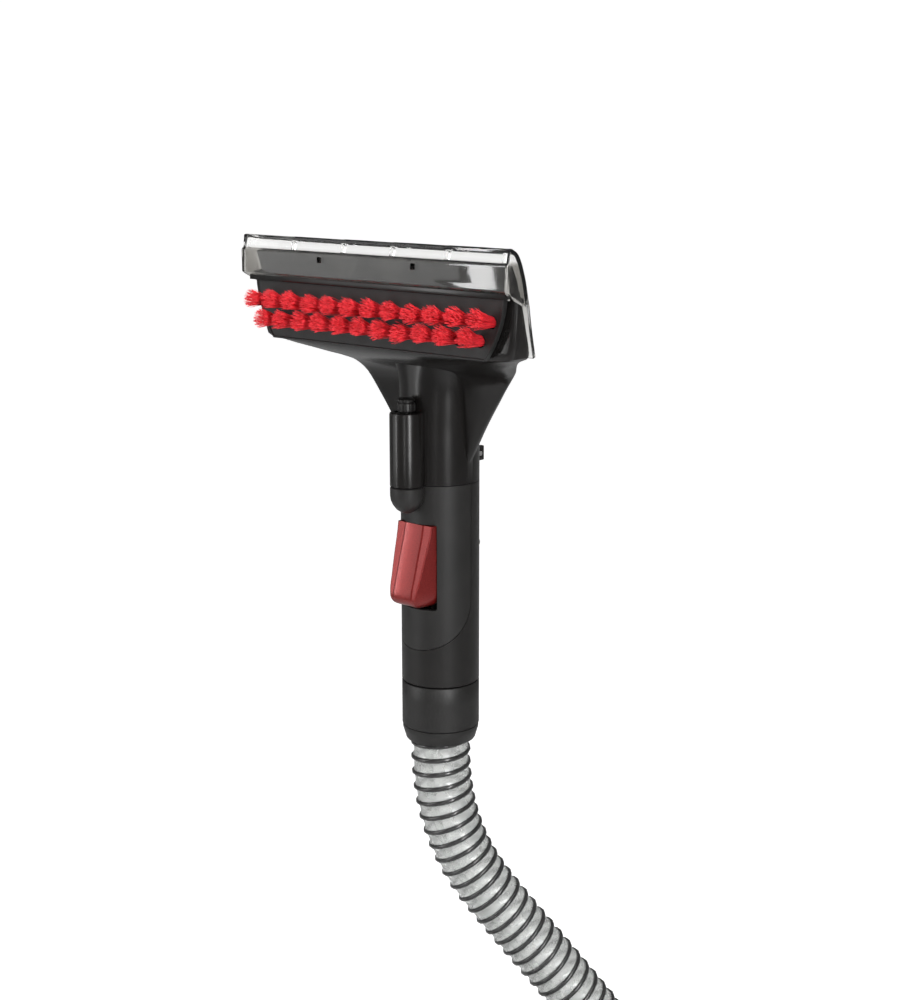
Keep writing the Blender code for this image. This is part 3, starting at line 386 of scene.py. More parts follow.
def round_edges(thing, width, segments=2, limit=32.0):
    bevel = thing.modifiers.new("round", 'BEVEL')
    bevel.width = width
    bevel.segments = segments
    bevel.limit_method = 'ANGLE'
    bevel.angle_limit = math.radians(limit)
    bevel.harden_normals = True
    bevel.use_clamp_overlap = True


def combine(target, others, operation):
    """Apply Booleans of the other objects to the target and remove them."""
    for other in others:
        change = target.modifiers.new(operation.lower(), 'BOOLEAN')
        change.operation = operation
        change.solver = 'EXACT'
        change.object = other
    graph = bpy.context.evaluated_depsgraph_get()
    mesh = bpy.data.meshes.new_from_object(target.evaluated_get(graph))
    target.modifiers.clear()
    target.data = mesh
    for other in others:
        bpy.data.objects.remove(other)
    mesh.shade_smooth()
    mesh.set_sharp_from_angle(angle=math.radians(35.0))
    return target


def cut(target, *tools):
    return combine(target, tools, 'DIFFERENCE')


def join(target, *pieces):
    return combine(target, pieces, 'UNION')


def skin(rings, closed=False):
    """bmesh through a row of equal rings; open rows are capped."""
    bm = bmesh.new()
    loops = [[bm.verts.new(point) for point in ring] for ring in rings]
    pairs = list(zip(loops, loops[1:]))
    if closed:
        pairs.append((loops[-1], loops[0]))
    for low, high in pairs:
        for i in range(len(low)):
            j = (i + 1) % len(low)
            bm.faces.new((low[i], low[j], high[j], high[i]))
    if not closed:
        bm.faces.new(loops[0])
        bm.faces.new(loops[-1])
    return bm


def ring_points(centre, radius, sides, along=UP):
    along = Vector(along).normalized()
    first = Vector((1.0, 0.0, 0.0)) if abs(along.x) < 0.9 else UP
    first = (first - along * first.dot(along)).normalized()
    second = along.cross(first)
    centre = Vector(centre)
    turns = [2 * math.pi * i / sides for i in range(sides)]
    return [centre + radius * (math.cos(t) * first + math.sin(t) * second) for t in turns]


def stack(profile, base=(0.0, 0.0, 0.0), along=UP, sides=64):
    along = Vector(along).normalized()
    return [ring_points(Vector(base) + along * h, r, sides, along) for r, h in profile]


def rod(name, profile, material=None, base=(0.0, 0.0, 0.0), along=UP, sides=64, **more):
    """Solid of (radius, height) rows along an axis."""
    return finish_mesh(name, skin(stack(profile, base, along, sides)), material, **more)


def peg(name, radius, low, high, **more):
    """Straight round bar from low to high along its axis."""
    return rod(name, [(radius, low), (radius, high)], **more)


def turned(name, profile, material=None, base=(0.0, 0.0, 0.0), along=UP, sides=96, **more):
    """Ring whose closed section is given as (radius, height) rows."""
    return finish_mesh(name, skin(stack(profile, base, along, sides), closed=True), material, **more)


def block(name, low, high, material=None, bevel=0.0, **more):
    bm = bmesh.new()
    bmesh.ops.create_cube(bm, size=1.0)
    for vertex in bm.verts:
        vertex.co = Vector(low[i] + (vertex.co[i] + 0.5) * (high[i] - low[i]) for i in range(3))
    if bevel:
        bmesh.ops.bevel(bm, geom=bm.edges[:], offset=bevel, segments=2, affect='EDGES', profile=0.5)
    return finish_mesh(name, bm, material, **more)


def prism_x(name, outline, half_width, material=None, steps=1, **more):
    rings = []
    for i in range(steps + 1):
        share = 2 * i / steps - 1
        rings.append([(share * half_width(z), y, z) for y, z in outline])
    bm = skin(rings)
    ends = [face for face in bm.faces if len(face.verts) > 4]
    bmesh.ops.triangulate(bm, faces=ends)
    return finish_mesh(name, bm, material, **more)


def rounded(corners, radius, steps=4):
    """Round the corners of a closed outline given as (a, b, own radius or None)."""
    result = []
    size = len(corners)
    for i, corner in enumerate(corners):
        here = Vector(corner[:2])
        before = Vector(corners[i - 1][:2]) - here
        after = Vector(corners[(i + 1) % size][:2]) - here
        reach = min(corner[2] if len(corner) > 2 else radius, before.length * 0.45, after.length * 0.45)
        start = here + before.normalized() * reach
        end = here + after.normalized() * reach
        for k in range(steps + 1):
            t = k / steps
            result.append(tuple(start * (1 - t) ** 2 + here * 2 * t * (1 - t) + end * t * t))
    return result


def smooth_table(rows, places):
    """Read a table at new places in its first column, along smooth monotone curves."""
    table = np.array(rows, dtype=float)
    at = table[:, 0]
    result = [np.array(places, dtype=float)]
    for column in range(1, table.shape[1]):
        values = table[:, column]
        steps = np.diff(values) / np.diff(at)
        slopes = np.zeros_like(values)
        slopes[0] = steps[0]
        slopes[-1] = steps[-1]
        for i in range(1, len(values) - 1):
            if steps[i - 1] * steps[i] > 0:
                slopes[i] = 2 * steps[i - 1] * steps[i] / (steps[i - 1] + steps[i])
        out = []
        for z in places:
            i = min(max(int(np.searchsorted(at, z, side='right')) - 1, 0), len(at) - 2)
            h = at[i + 1] - at[i]
            t = (z - at[i]) / h
            out.append((2 * t ** 3 - 3 * t ** 2 + 1) * values[i] + (t ** 3 - 2 * t ** 2 + t) * h * slopes[i]
                       + (3 * t ** 2 - 2 * t ** 3) * values[i + 1] + (t ** 3 - t ** 2) * h * slopes[i + 1])
        result.append(np.array(out))
    return np.stack(result, axis=1)


def smooth_through(points, count):
    """Read points from a natural cubic spline through the given ones, evenly by length."""
    points = np.array([tuple(p) for p in points], dtype=float)
    steps = np.linalg.norm(np.diff(points, axis=0), axis=1)
    at = np.concatenate(([0.0], np.cumsum(steps)))
    size = len(points)
    matrix = np.eye(size)
    right = np.zeros_like(points)
    for i in range(1, size - 1):
        matrix[i, i - 1:i + 2] = (steps[i - 1], 2 * (steps[i - 1] + steps[i]), steps[i])
        rise = (points[i + 1] - points[i]) / steps[i] - (points[i] - points[i - 1]) / steps[i - 1]
        right[i] = 6 * rise
    bend = np.linalg.solve(matrix, right)
    result = []
    for s in np.linspace(0.0, at[-1], count):
        i = min(int(np.searchsorted(at, s, side='right')) - 1, size - 2)
        h = steps[i]
        a = (at[i + 1] - s) / h
        b = (s - at[i]) / h
        curve = a * points[i] + b * points[i + 1]
        curve += ((a ** 3 - a) * bend[i] + (b ** 3 - b) * bend[i + 1]) * h * h / 6
        result.append(Vector(curve))
    return result


def frames_along(points):
    """Tangents and a pair of cross directions that don't twist along a path."""
    points = np.array([tuple(p) for p in points])
    tangents = np.gradient(points, axis=0)
    tangents /= np.linalg.norm(tangents, axis=1)[:, None]
    first = np.zeros_like(points)
    start = np.cross(tangents[0], (0.0, 1.0, 0.0))
    first[0] = start / np.linalg.norm(start)
    for i in range(1, len(points)):
        side = first[i - 1] - tangents[i] * np.dot(first[i - 1], tangents[i])
        first[i] = side / np.linalg.norm(side)
    return points, tangents, first, np.cross(tangents, first)


def tube_bm(points, radius, sides):
    points, _, first, second = frames_along(points)
    turns = np.arange(sides) * 2 * math.pi / sides
    rings = []
    for p, a, b in zip(points, first, second):
        rings.append([p + radius * (math.cos(t) * a + math.sin(t) * b) for t in turns])
    return skin(rings)


# ---- hose ------------------------------------------------------------------------------
HOSE_START = Vector((0.0, 0.0, CUFF_END_Z - GAP))
ACROSS = CAMERA_RIGHT
ASIDE = TOWARDS_CAMERA
COIL_RADIUS = 0.1700
COIL_ENTRY = math.radians(52.0)
COIL_EXIT = math.radians(630.0)
TURN_STEP = 0.0325
END_STEP = 0.0085
HOSE_ROUTE = [
    (0.0000, 0.0000), (0.0000, 0.0100), (0.0042, 0.0416), (0.0163, 0.0710),
    (0.0259, 0.0851), (0.0505, 0.1166), (0.0752, 0.1481), (0.0998, 0.1797), (0.1340, 0.2235),
]
COIL_CENTRE = (HOSE_START + ACROSS * (HOSE_ROUTE[-1][0] - COIL_RADIUS * math.sin(COIL_ENTRY))
               - UP * (HOSE_ROUTE[-1][1] + COIL_RADIUS * math.cos(COIL_ENTRY)))
COIL_END = COIL_CENTRE - ACROSS * COIL_RADIUS + ASIDE * (TURN_STEP + END_STEP)
RIB_PITCH = 0.0073
RIB_CREST = HOSE_RADIUS - 0.0007
RIB_TROUGH = HOSE_RADIUS - 0.0016
HOSE_WALL = 0.0008
HELIX_WIRE = 0.0012
HELIX_RADIUS = HOSE_RADIUS - 0.0012
LINE_ASIDE = 0.0088                 # the inner line lies this far from the hose's middle
LINE_RADIUS = 0.0020


def eased(value, low, high):
    share = min(1.0, max(0.0, (value - low) / (high - low)))
    return share * share * (3 - 2 * share)


def coil_aside(clock):
    second = TURN_STEP * eased(clock, math.radians(285), math.radians(380))
    return second + END_STEP * eased(clock, math.radians(560), math.radians(625))


def coil_point(clock, radius, aside):
    return (COIL_CENTRE + ACROSS * (radius * math.sin(clock)) + UP * (radius * math.cos(clock))
            + ASIDE * aside)


def hose_line():
    """Centreline of the whole hose, evenly stepped."""
    route = [HOSE_START + ACROSS * side - UP * down for side, down in HOSE_ROUTE]
    line = smooth_through(route, 200)
    turns = 900
    for i in range(1, turns + 1):
        clock = COIL_ENTRY + (COIL_EXIT - COIL_ENTRY) * i / turns
        line.append(coil_point(clock, COIL_RADIUS, coil_aside(clock)))
    points = np.array([tuple(p) for p in line])
    at = np.concatenate(([0.0], np.cumsum(np.linalg.norm(np.diff(points, axis=0), axis=1))))
    count = int(at[-1] / (RIB_PITCH / 10))
    even = np.linspace(0.0, at[-1], count)
    stepped = np.stack([np.interp(even, at, points[:, k]) for k in range(3)], axis=1)
    return stepped, at[-1]


def rib_bump(phase):
    """Share of the rib's height at a phase of the helix, 1 on its crest."""
    away = abs((phase + 0.5) % 1.0 - 0.5) * 2
    return math.exp(-(away / 0.42) ** 2)


def make_hose():
    """Ribbed clear wall, the dark wire wound in it and the solution line inside."""
    line, length = hose_line()
    points, _, first, second = frames_along(line)
    step = length / (len(points) - 1)
    sides = 32
    outer = []
    inner = []
    for i, (p, a, b) in enumerate(zip(points, first, second)):
        out_ring = []
        in_ring = []
        for k in range(sides):
            turn = 2 * math.pi * k / sides
            bump = rib_bump(i * step / RIB_PITCH - k / sides)
            radius = RIB_TROUGH + (RIB_CREST - RIB_TROUGH) * bump
            way = math.cos(turn) * a + math.sin(turn) * b
            out_ring.append(p + radius * way)
            in_ring.append(p + (radius - HOSE_WALL) * way)
        outer.append(out_ring)
        inner.append(in_ring)
    hose = finish_mesh("hose_wall", skin(outer + inner[::-1], closed=True), "hose",
                       body="hose", replaces=("hose_run", "hose_coil"), slot="hose_clear", sharp=180.0)
    helix_points = []
    per_turn = 20
    turns = length / RIB_PITCH
    for j in range(int(turns * per_turn) + 1):
        share = j / (turns * per_turn)
        place_at = share * (len(points) - 1)
        i = min(int(place_at), len(points) - 2)
        t = place_at - i
        turn = 2 * math.pi * j / per_turn
        centre = points[i] * (1 - t) + points[i + 1] * t
        helix_points.append(centre + HELIX_RADIUS * (math.cos(turn) * first[i] + math.sin(turn) * second[i]))
    helix = finish_mesh("hose_helix", tube_bm(helix_points, HELIX_WIRE, 8), "helix",
                        body="hose", slot="black_satin", sharp=180.0)
    offset = [p + LINE_ASIDE * b for p, b in zip(points[::10], second[::10])]
    line_inside = finish_mesh("solution_line_in_hose", tube_bm(offset, LINE_RADIUS, 10), "tube",
                              body="hose", slot="tube_clear", sharp=180.0)
    return hose, helix, line_inside, length


# ---- tool head -------------------------------------------------------------------------
HEAD_HALF_WIDTH = 0.0820
NOZZLE_FRONT_Y = -0.0500
BRUSH_FACE_Y = -0.0448
BRUSH_LOW_Z = 0.1310
BRUSH_TOP_Z = 0.1579
LEVER_PIVOT = (0.0, 0.0222, 0.0740)
# Dark discs behind the window's front: painted shade for the round dark marks seen through it.
SHADE_DISC_X = 0.0145
SHADE_DISC_Z = 0.1698
SHADE_DISC_RADIUS = 0.0072
# Sections of the fan: height, half width, y of the side edge, front y, back y, squareness.
WING = [
    (0.0720, 0.0180, -0.0010, -0.0030, 0.0080, 2.0),
    (0.0820, 0.0232, -0.0012, -0.0032, 0.0088, 2.2),
    (0.0950, 0.0310, -0.0020, -0.0040, 0.0084, 2.3),
    (0.1050, 0.0380, -0.0027, -0.0047, 0.0066, 2.4),
    (0.1130, 0.0440, -0.0035, -0.0060, 0.0036, 2.5),
    (0.1180, 0.0492, -0.0058, -0.0105, -0.0004, 2.6),
    (0.1212, 0.0536, -0.0095, -0.0200, -0.0042, 2.8),
    (0.1250, 0.0590, -0.0160, -0.0325, -0.0100, 3.2),
    (0.1290, 0.0690, -0.0280, -0.0395, -0.0195, 4.5),
    (0.1318, 0.0770, -0.0335, -0.0415, -0.0258, 7.0),
    (0.1400, 0.0785, -0.0335, -0.0415, -0.0258, 9.0),
    (0.1585, 0.0797, -0.0335, -0.0415, -0.0258, 9.0),
]
WING_WALL = 0.0016
NECK = [
    (SEAM_Z + GAP, GRIP_RADIUS, 0.0, -GRIP_RADIUS, GRIP_RADIUS, 2.0),
    (0.0800, GRIP_RADIUS, 0.0, -GRIP_RADIUS, GRIP_RADIUS, 2.0),
    (0.0900, GRIP_RADIUS, 0.0, -GRIP_RADIUS, 0.0172, 2.0),
    (0.1000, GRIP_RADIUS, -0.0010, -GRIP_RADIUS, 0.0128, 2.0),
    (0.1100, GRIP_RADIUS, -0.0020, -GRIP_RADIUS, 0.0068, 2.0),
    (0.1225, GRIP_RADIUS, -0.0100, -GRIP_RADIUS, -0.0070, 2.0),
]
NECK_WALL = 0.00275
NOZZLE_OUTER = [
    (NOZZLE_FRONT_Y, 0.1618, 0.0005), (NOZZLE_FRONT_Y, 0.1724, 0.0010), (-0.0490, 0.1734, 0.0006),
    (-0.0482, 0.1778, 0.0012), (-0.0482, 0.1793, 0.0007), (-0.0466, 0.1796, 0.0012),
    (-0.0423, 0.1776, 0.0020), (-0.0396, 0.1730, 0.0020), (-0.0370, 0.1660, 0.0030),
    (-0.0343, 0.1545, 0.0030), (-0.0310, 0.1445, 0.0030), (-0.0262, 0.1320, 0.0008),
    (-0.0280, 0.1314, 0.0008), (-0.0328, 0.1440, 0.0030), (-0.0361, 0.1545, 0.0020),
    (-0.0470, 0.1600, 0.0010),
]
NOZZLE_INNER = [
    (-0.0480, 0.1500), (-0.0480, 0.1730), (-0.0464, 0.1776), (-0.0438, 0.1762),
    (-0.0415, 0.1724), (-0.0389, 0.1657), (-0.0361, 0.1543), (-0.0328, 0.1440),
    (-0.0276, 0.1303), (-0.0420, 0.1303),
]
NOZZLE_WALL = 0.0020
LINER = [
    (-0.0381, 0.1575), (-0.0403, 0.1657), (-0.0427, 0.1716), (-0.0419, 0.1716),
    (-0.0394, 0.1657), (-0.0373, 0.1575),
]
LINER_RIB = [(-0.0440, 0.1590), (-0.0383, 0.1590), (-0.0393, 0.1630), (-0.0430, 0.1630)]
LINER_RIB_X = [-0.0764, -0.0380, 0.0, 0.0380, 0.0764]
MOUTH_LOW_Z = 0.1734
MOUTH_TOP_Z = 0.1778
MOUTH_RIBS = [-0.0476, -0.0152, 0.0152, 0.0476]
RIB_HALF = 0.0009
SNAP_X = 0.0290
SNAP_Z = 0.1697
SNAP_HALF = 0.0014
TUFT_PITCH = 0.0126
TUFT_ROWS = {"upper": (12, 0.1478), "lower": (11, 0.1394)}
TUFT_LIFT = math.radians(12.0)
TUFT_LENGTH = 0.0125
TUFT_HOLE = 0.0027
TUFT_FOOT = 0.0022                  # radius of a tuft where it leaves its hole
TUFT_SPREAD = 0.0046                # how far its outermost filament leans out at the tip
FILAMENTS = 190
FILAMENT_RADIUS = 0.00013


def wing_ring(section, inset, sides=128):
    z, half_width, edge_y, front_y, back_y, power = section
    half_width -= inset
    front_y += inset
    back_y -= inset
    points = []
    for i in range(sides):
        t = 2 * math.pi * (i + 0.5) / sides
        c = math.cos(t)
        s = math.sin(t)
        reach = (back_y - edge_y) if s > 0 else (edge_y - front_y)
        points.append((half_width * math.copysign(abs(c) ** (2 / power), c),
                       edge_y + reach * math.copysign(abs(s) ** (2 / power), s), z))
    return points


def nozzle_half_width(z):
    return HEAD_HALF_WIDTH - 0.13 * max(0.0, 0.1545 - z)


def brush_outline(inset=0.0, steps=20, top=BRUSH_TOP_Z):
    side = []
    for i in range(steps + 1):
        t = i / steps
        x = (1 - t) ** 2 * 0.0660 + 2 * t * (1 - t) * 0.0752 + t * t * 0.0768
        z = (1 - t) ** 2 * BRUSH_LOW_Z + 2 * t * (1 - t) * 0.1430 + t * t * BRUSH_TOP_Z
        side.append((x - inset, max(z, BRUSH_LOW_Z + inset)))
    side = [(x, z) for x, z in side if z < top] + [(side[-1][0], top)]
    return side + [(-x, z) for x, z in reversed(side)]


def prism_y(name, outline, front_y, back_y, material=None, **more):
    return finish_mesh(name, skin([[(x, y, z) for x, z in outline] for y in (front_y, back_y)]),
                       material, **more)


def tuft_places(row):
    count, z = TUFT_ROWS[row]
    return [((i - (count - 1) / 2) * TUFT_PITCH, z) for i in range(count)]


def make_head():
    """Fan, neck, ledge, lever ears, the liner seen through the window and two dark discs behind its front as
    painted shade.
    """
    heights = np.concatenate((np.linspace(0.0720, 0.1130, 16), np.linspace(0.1150, 0.1320, 18),
                              np.linspace(0.1340, 0.1585, 8)))
    sections = smooth_table(WING, heights)
    head = finish_mesh("head_shell", skin([wing_ring(s, 0.0) for s in sections]), "black_gloss")
    neck_sections = [*NECK[:1], *smooth_table(NECK[1:], np.linspace(0.08, 0.1225, 16))]
    neck = finish_mesh("neck", skin([wing_ring(s, 0.0, 96) for s in neck_sections]), "black_gloss")
    ledge_half = HEAD_HALF_WIDTH - 0.0030
    ledge = block("ledge", (-ledge_half, -0.0476, 0.1582), (ledge_half, -0.0390, 0.1612), bevel=0.0003)
    ears = [block("ear", (s * 0.0053 - 0.0012, 0.0165, 0.0705), (s * 0.0053 + 0.0012, 0.0252, 0.0777),
                  bevel=0.0004) for s in (-1, 1)]
    join(head, neck, ledge, *ears)
    hollow = skin([wing_ring(s, WING_WALL, 96) for s in sections[2:-1]]
                  + [wing_ring((0.1685, *WING[-1][1:]), WING_WALL, 96)])
    cavity = finish_mesh("cavity", hollow, None)
    start = (SEAM_Z - 0.0010, *NECK[0][1:])
    bore = finish_mesh("bore", skin([wing_ring(s, NECK_WALL, 96) for s in [start] + NECK[1:-1]]), None)
    behind = [(y - GAP, z) for y, z in reversed(NOZZLE_INNER[5:8])]
    behind = [(-0.0283, 0.1311)] + behind + [(-0.0403, 0.1700), (0.0100, 0.1700), (0.0100, 0.1311)]
    back = prism_x("back", behind, lambda z: 0.0900)
    pin_hole = peg("pin_hole", 0.0015, -0.0100, 0.0100, base=LEVER_PIVOT, along=(1, 0, 0))
    mouth = block("mouth", (-0.0760, -0.0420, 0.1570), (0.0760, -0.0340, 0.1650))
    cut(head, cavity, bore, back, pin_hole, mouth)
    pockets = []
    for s in (-1, 1):
        lower = [(0.0688, 0.1345), (0.0775, 0.1345), (0.0779, 0.1440), (0.0738, 0.1440)]
        upper = [(0.0743, 0.1452), (0.0780, 0.1452), (0.0783, 0.1560), (0.0774, 0.1560)]
        for shape in (lower, upper):
            pockets.append(prism_y("pocket", [(s * x, z) for x, z in shape], -0.0450, -0.0404))
    cut(head, *pockets)
    # Two dark discs just behind the window's front, put there as painted shade for the round dark marks.
    liner = prism_x("liner", LINER, lambda z: 0.0770)
    shade_discs = []
    for s in (-1, 1):
        arc = [(s * SHADE_DISC_X + SHADE_DISC_RADIUS * math.cos(a), SHADE_DISC_Z + SHADE_DISC_RADIUS * math.sin(a))
               for a in np.linspace(math.radians(157), math.radians(383), 40)]
        shade_discs.append(prism_y("shade_disc", arc, -0.0474, -0.0436))
    ribs = []
    for place_x in LINER_RIB_X:
        rib = prism_x("rib", LINER_RIB, lambda z: 0.0006)
        rib.data.transform(Matrix.Translation((place_x, 0.0, 0.0)))
        ribs.append(rib)
    join(head, liner, *ribs)
    head.data.materials.clear()
    head.data.materials.append(FINISH["black_gloss"])
    place(head, "tool", ("head_body",))
    for side, shade_disc in zip(("left", "right"), shade_discs):
        shade_disc.name = "shade_disc_" + side
        shade_disc.data.materials.append(FINISH["black_gloss"])
        place(shade_disc, "tool", ())


def inset_outline(points, amount):
    """Move a closed outline inwards by an amount, corner by corner."""
    size = len(points)
    area = sum(points[i - 1][0] * points[i][1] - points[i][0] * points[i - 1][1] for i in range(size))
    turn = 1.0 if area > 0 else -1.0
    result = []
    for i in range(size):
        here = Vector(points[i])
        before = (here - Vector(points[i - 1])).normalized()
        after = (Vector(points[(i + 1) % size]) - here).normalized()
        normal_in = Vector((-before.y, before.x)) * turn
        normal_out = Vector((-after.y, after.x)) * turn
        middle = normal_in + normal_out
        result.append(tuple(here + middle * (amount / max(0.6, 0.5 * middle.length_squared))))
    return result


def make_window():
    """Clear front and top of the head, hollow, with mouth slots and two snap holes."""
    outline = rounded(NOZZLE_OUTER, 0.0008)
    edge = 0.0007
    rings = []
    for a in np.linspace(0, math.pi / 2, 5):
        shrink = edge * (1 - math.sin(a))
        inward = edge * (1 - math.cos(a))
        rings.append([(-nozzle_half_width(z) + inward, y, z) for y, z in inset_outline(outline, shrink)])
    rings += [[(-x, y, z) for x, y, z in ring] for ring in reversed(rings)]
    bm = skin(rings)
    bmesh.ops.triangulate(bm, faces=[f for f in bm.faces if len(f.verts) > 4])
    window = finish_mesh("nozzle_shell", bm, "window")
    inside = prism_x("inside", NOZZLE_INNER, lambda z: nozzle_half_width(z) - NOZZLE_WALL)
    ends = [-HEAD_HALF_WIDTH + NOZZLE_WALL + 0.0006] + MOUTH_RIBS + [HEAD_HALF_WIDTH - NOZZLE_WALL - 0.0006]
    slots = [block("slot", (left + RIB_HALF, -0.0550, MOUTH_LOW_Z), (right - RIB_HALF, -0.0450, MOUTH_TOP_Z),
                   bevel=0.0003) for left, right in zip(ends, ends[1:])]
    snaps = [block("snap", (s * SNAP_X - SNAP_HALF, -0.0550, SNAP_Z - SNAP_HALF),
                   (s * SNAP_X + SNAP_HALF, -0.0470, SNAP_Z + SNAP_HALF)) for s in (-1, 1)]
    cut(window, inside, *slots, *snaps)
    place(window, "tool", ("nozzle_window",))


def make_brush():
    """Plate with a raised rim and a hole for each tuft, and its two rows of tufts."""
    plate = prism_y("plate", brush_outline(), BRUSH_FACE_Y - 0.0006, BRUSH_FACE_Y + 0.0020, "plate")
    face = prism_y("face", brush_outline(0.0009, top=BRUSH_TOP_Z + 0.001),
                   BRUSH_FACE_Y - 0.0050, BRUSH_FACE_Y)
    cut(plate, face)
    bm = bmesh.new()
    sides = 24
    for row in TUFT_ROWS:
        for x, z in tuft_places(row):
            loops = [[bm.verts.new(p) for p in ring_points((x, y, z), TUFT_HOLE, sides, (0, 1, 0))]
                     for y in (-0.0500, -0.0400)]
            for i in range(sides):
                bm.faces.new((loops[0][i], loops[0][i - 1], loops[1][i - 1], loops[1][i]))
            bm.faces.new(loops[0])
            bm.faces.new(loops[1])
    cut(plate, finish_mesh("holes", bm, None))
    settle(plate, "bristle_plate", "tool", ("brush_plate",), "black_satin", 0.00025)
    for row in TUFT_ROWS:
        make_bristles(row)


def make_bristles(row):
    """Nylon filaments, bent a little and splayed from the hole to the tip."""
    vertices = []
    faces = []
    steps = 4
    sides = 3
    aim = np.array((0.0, -math.cos(TUFT_LIFT), math.sin(TUFT_LIFT)))
    up = np.array((0.0, math.sin(TUFT_LIFT), math.cos(TUFT_LIFT)))
    across = np.array((1.0, 0.0, 0.0))
    for x, z in tuft_places(row):
        tilt = RNG.normal(0.0, 0.03, 2)
        foot = np.array((x, -0.0421, z))
        for _ in range(FILAMENTS):
            r = math.sqrt(RNG.random())
            turn = RNG.random() * 2 * math.pi
            out = np.array((math.cos(turn), math.sin(turn))) * r
            length = TUFT_LENGTH * (1.0 + RNG.normal(0.0, 0.022)) * (1.0 - 0.05 * r * r)
            spread = out * TUFT_SPREAD + RNG.normal(0.0, 0.00030, 2) + tilt * length
            curl = RNG.normal(0.0, 0.00035, 2)
            start = foot + across * out[0] * TUFT_FOOT + up * out[1] * TUFT_FOOT
            radius = FILAMENT_RADIUS * (1.0 + RNG.normal(0.0, 0.08))
            spin = RNG.random() * math.pi
            base = len(vertices)
            for k in range(steps + 1):
                t = k / steps
                ease = t * t * (1.6 - 0.6 * t)
                aside = spread * ease + curl * math.sin(math.pi * t)
                point = start + np.array((0.0, -0.0027, 0.0)) * min(1.0, t * 4) + aim * length * t
                point = point + across * (aside[0] - out[0] * TUFT_FOOT * ease)
                point = point + up * (aside[1] - out[1] * TUFT_FOOT * ease)
                thick = radius * (1.0 - 0.25 * t)
                for s in range(sides):
                    a = spin + 2 * math.pi * s / sides
                    vertices.append(point + thick * (math.cos(a) * across + math.sin(a) * up))
            for k in range(steps):
                for s in range(sides):
                    n = (s + 1) % sides
                    a = base + k * sides
                    faces.append((a + s, a + n, a + sides + n, a + sides + s))
            top = base + steps * sides
            faces.append(tuple(range(top, top + sides)))
    mesh = bpy.data.meshes.new("bristles_" + row)
    mesh.from_pydata(vertices, [], faces)
    mesh.shade_smooth()
    thing = bpy.data.objects.new("bristles_" + row, mesh)
    bpy.context.collection.objects.link(thing)
    mesh.materials.append(FINISH["bristle"])
    place(thing, "tool", ("bristle_row_" + row,))


def make_pod():
    """Water coupling on the neck's front and the ribbed spray jet that stands on it."""
    pod = rod("pod", [(POD_RADIUS - 0.0004, POD_LOW_Z), (POD_RADIUS, POD_LOW_Z + 0.0004),
                      (POD_RADIUS, POD_TOP_Z - 0.0010), (POD_RADIUS - 0.0003, POD_TOP_Z - 0.0003),
                      (POD_RADIUS - 0.0010, POD_TOP_Z)], "black_gloss", (0.0, POD_Y, 0.0))
    neck = peg("neck_clearance", GRIP_RADIUS + GAP, 0.04, 0.12, sides=96)
    bore = rod("pod_bore", [(0.0046, 0.04), (0.0046, 0.0860), (0.0026, 0.0875), (0.0026, POD_TOP_Z - 0.0006),
                            (0.0060, POD_TOP_Z - 0.0005), (0.0060, 0.12)], base=(0.0, POD_Y, 0.0), sides=32)
    cut(pod, neck, bore)
    settle(pod, "coupling_pod", "tool", ("fluid_pod",), "black_gloss")
    top = POD_TOP_Z + GAP
    fitting = rod("fitting", [(0.0022, 0.0885), (0.0022, top), (0.0039, top), (0.0042, top + 0.0003),
                              (0.0042, 0.1034), (0.0040, 0.1038), (0.0034, 0.1040), (0.0034, 0.1046),
                              (0.0040, 0.1048), (0.0040, 0.1054), (0.0034, 0.1060), (0.0026, 0.1062)],
                  "black_satin", (0.0, POD_Y, 0.0))
    grooves = []
    count = 10
    for i in range(count):
        turn = 2 * math.pi * (i + 0.5) / count
        at = (0.0046 * math.cos(turn), POD_Y + 0.0046 * math.sin(turn), 0.0)
        grooves.append(peg("groove", 0.0008, top + 0.0006, 0.1080, base=at, sides=14))
    jet = peg("jet", 0.0006, 0.0, 0.0060, base=(0.0, POD_Y, 0.1040), along=(0.0, -0.60, 0.80), sides=20)
    cut(fitting, jet, *grooves)
    settle(fitting, "spray_jet", "tool", ("spray_fitting",), "black_satin", 0.00015)


def make_lever():
    """Release rocker on the neck's back, with finger grooves."""
    outline = rounded([(0.0206, 0.0500), (0.0198, 0.0506), (0.0180, 0.0512), (0.0180, 0.0532),
                       (0.0204, 0.0560), (0.0208, 0.0700), (0.0218, 0.0930), (0.0224, 0.0945),
                       (0.0244, 0.0940), (0.0250, 0.0920), (0.0240, 0.0760), (0.0232, 0.0560)],
                      0.0010, 3)
    lever = prism_x("lever", outline, lambda z: 0.0036, "black_satin", steps=4)
    hole = peg("lever_hole", 0.0015, -0.01, 0.01, base=LEVER_PIVOT, along=(1, 0, 0), sides=24)
    grooves = [block("groove", (-0.0060, 0.0246 - 0.0006 * abs(i - 1), 0.0850 + 0.0022 * i),
                     (0.0060, 0.0270, 0.0860 + 0.0022 * i)) for i in range(4)]
    cut(lever, hole, *grooves)
    settle(lever, "release_rocker", "release_lever", ("tool_release_lever",), "black_satin", 0.0003)


# ---- grip ------------------------------------------------------------------------------
COVER_HALF_ANGLE = math.radians(92.0)
COVER_STRAIGHT_Z = 0.0080
COVER_ROUND = 0.0250
TRIGGER_HALF = 0.0110
TRIGGER_TOP_Z = 0.0450
TRIGGER_LOW_Z = 0.0052
TRIGGER_DROP = 0.0018
TRIGGER_PIVOT = (0.0, -0.0095, 0.0430)
TRIGGER_BACK_Y = -0.0125
TRIGGER_EDGE_Y = -0.0158
TRIGGER_CREASE_X = 0.0057
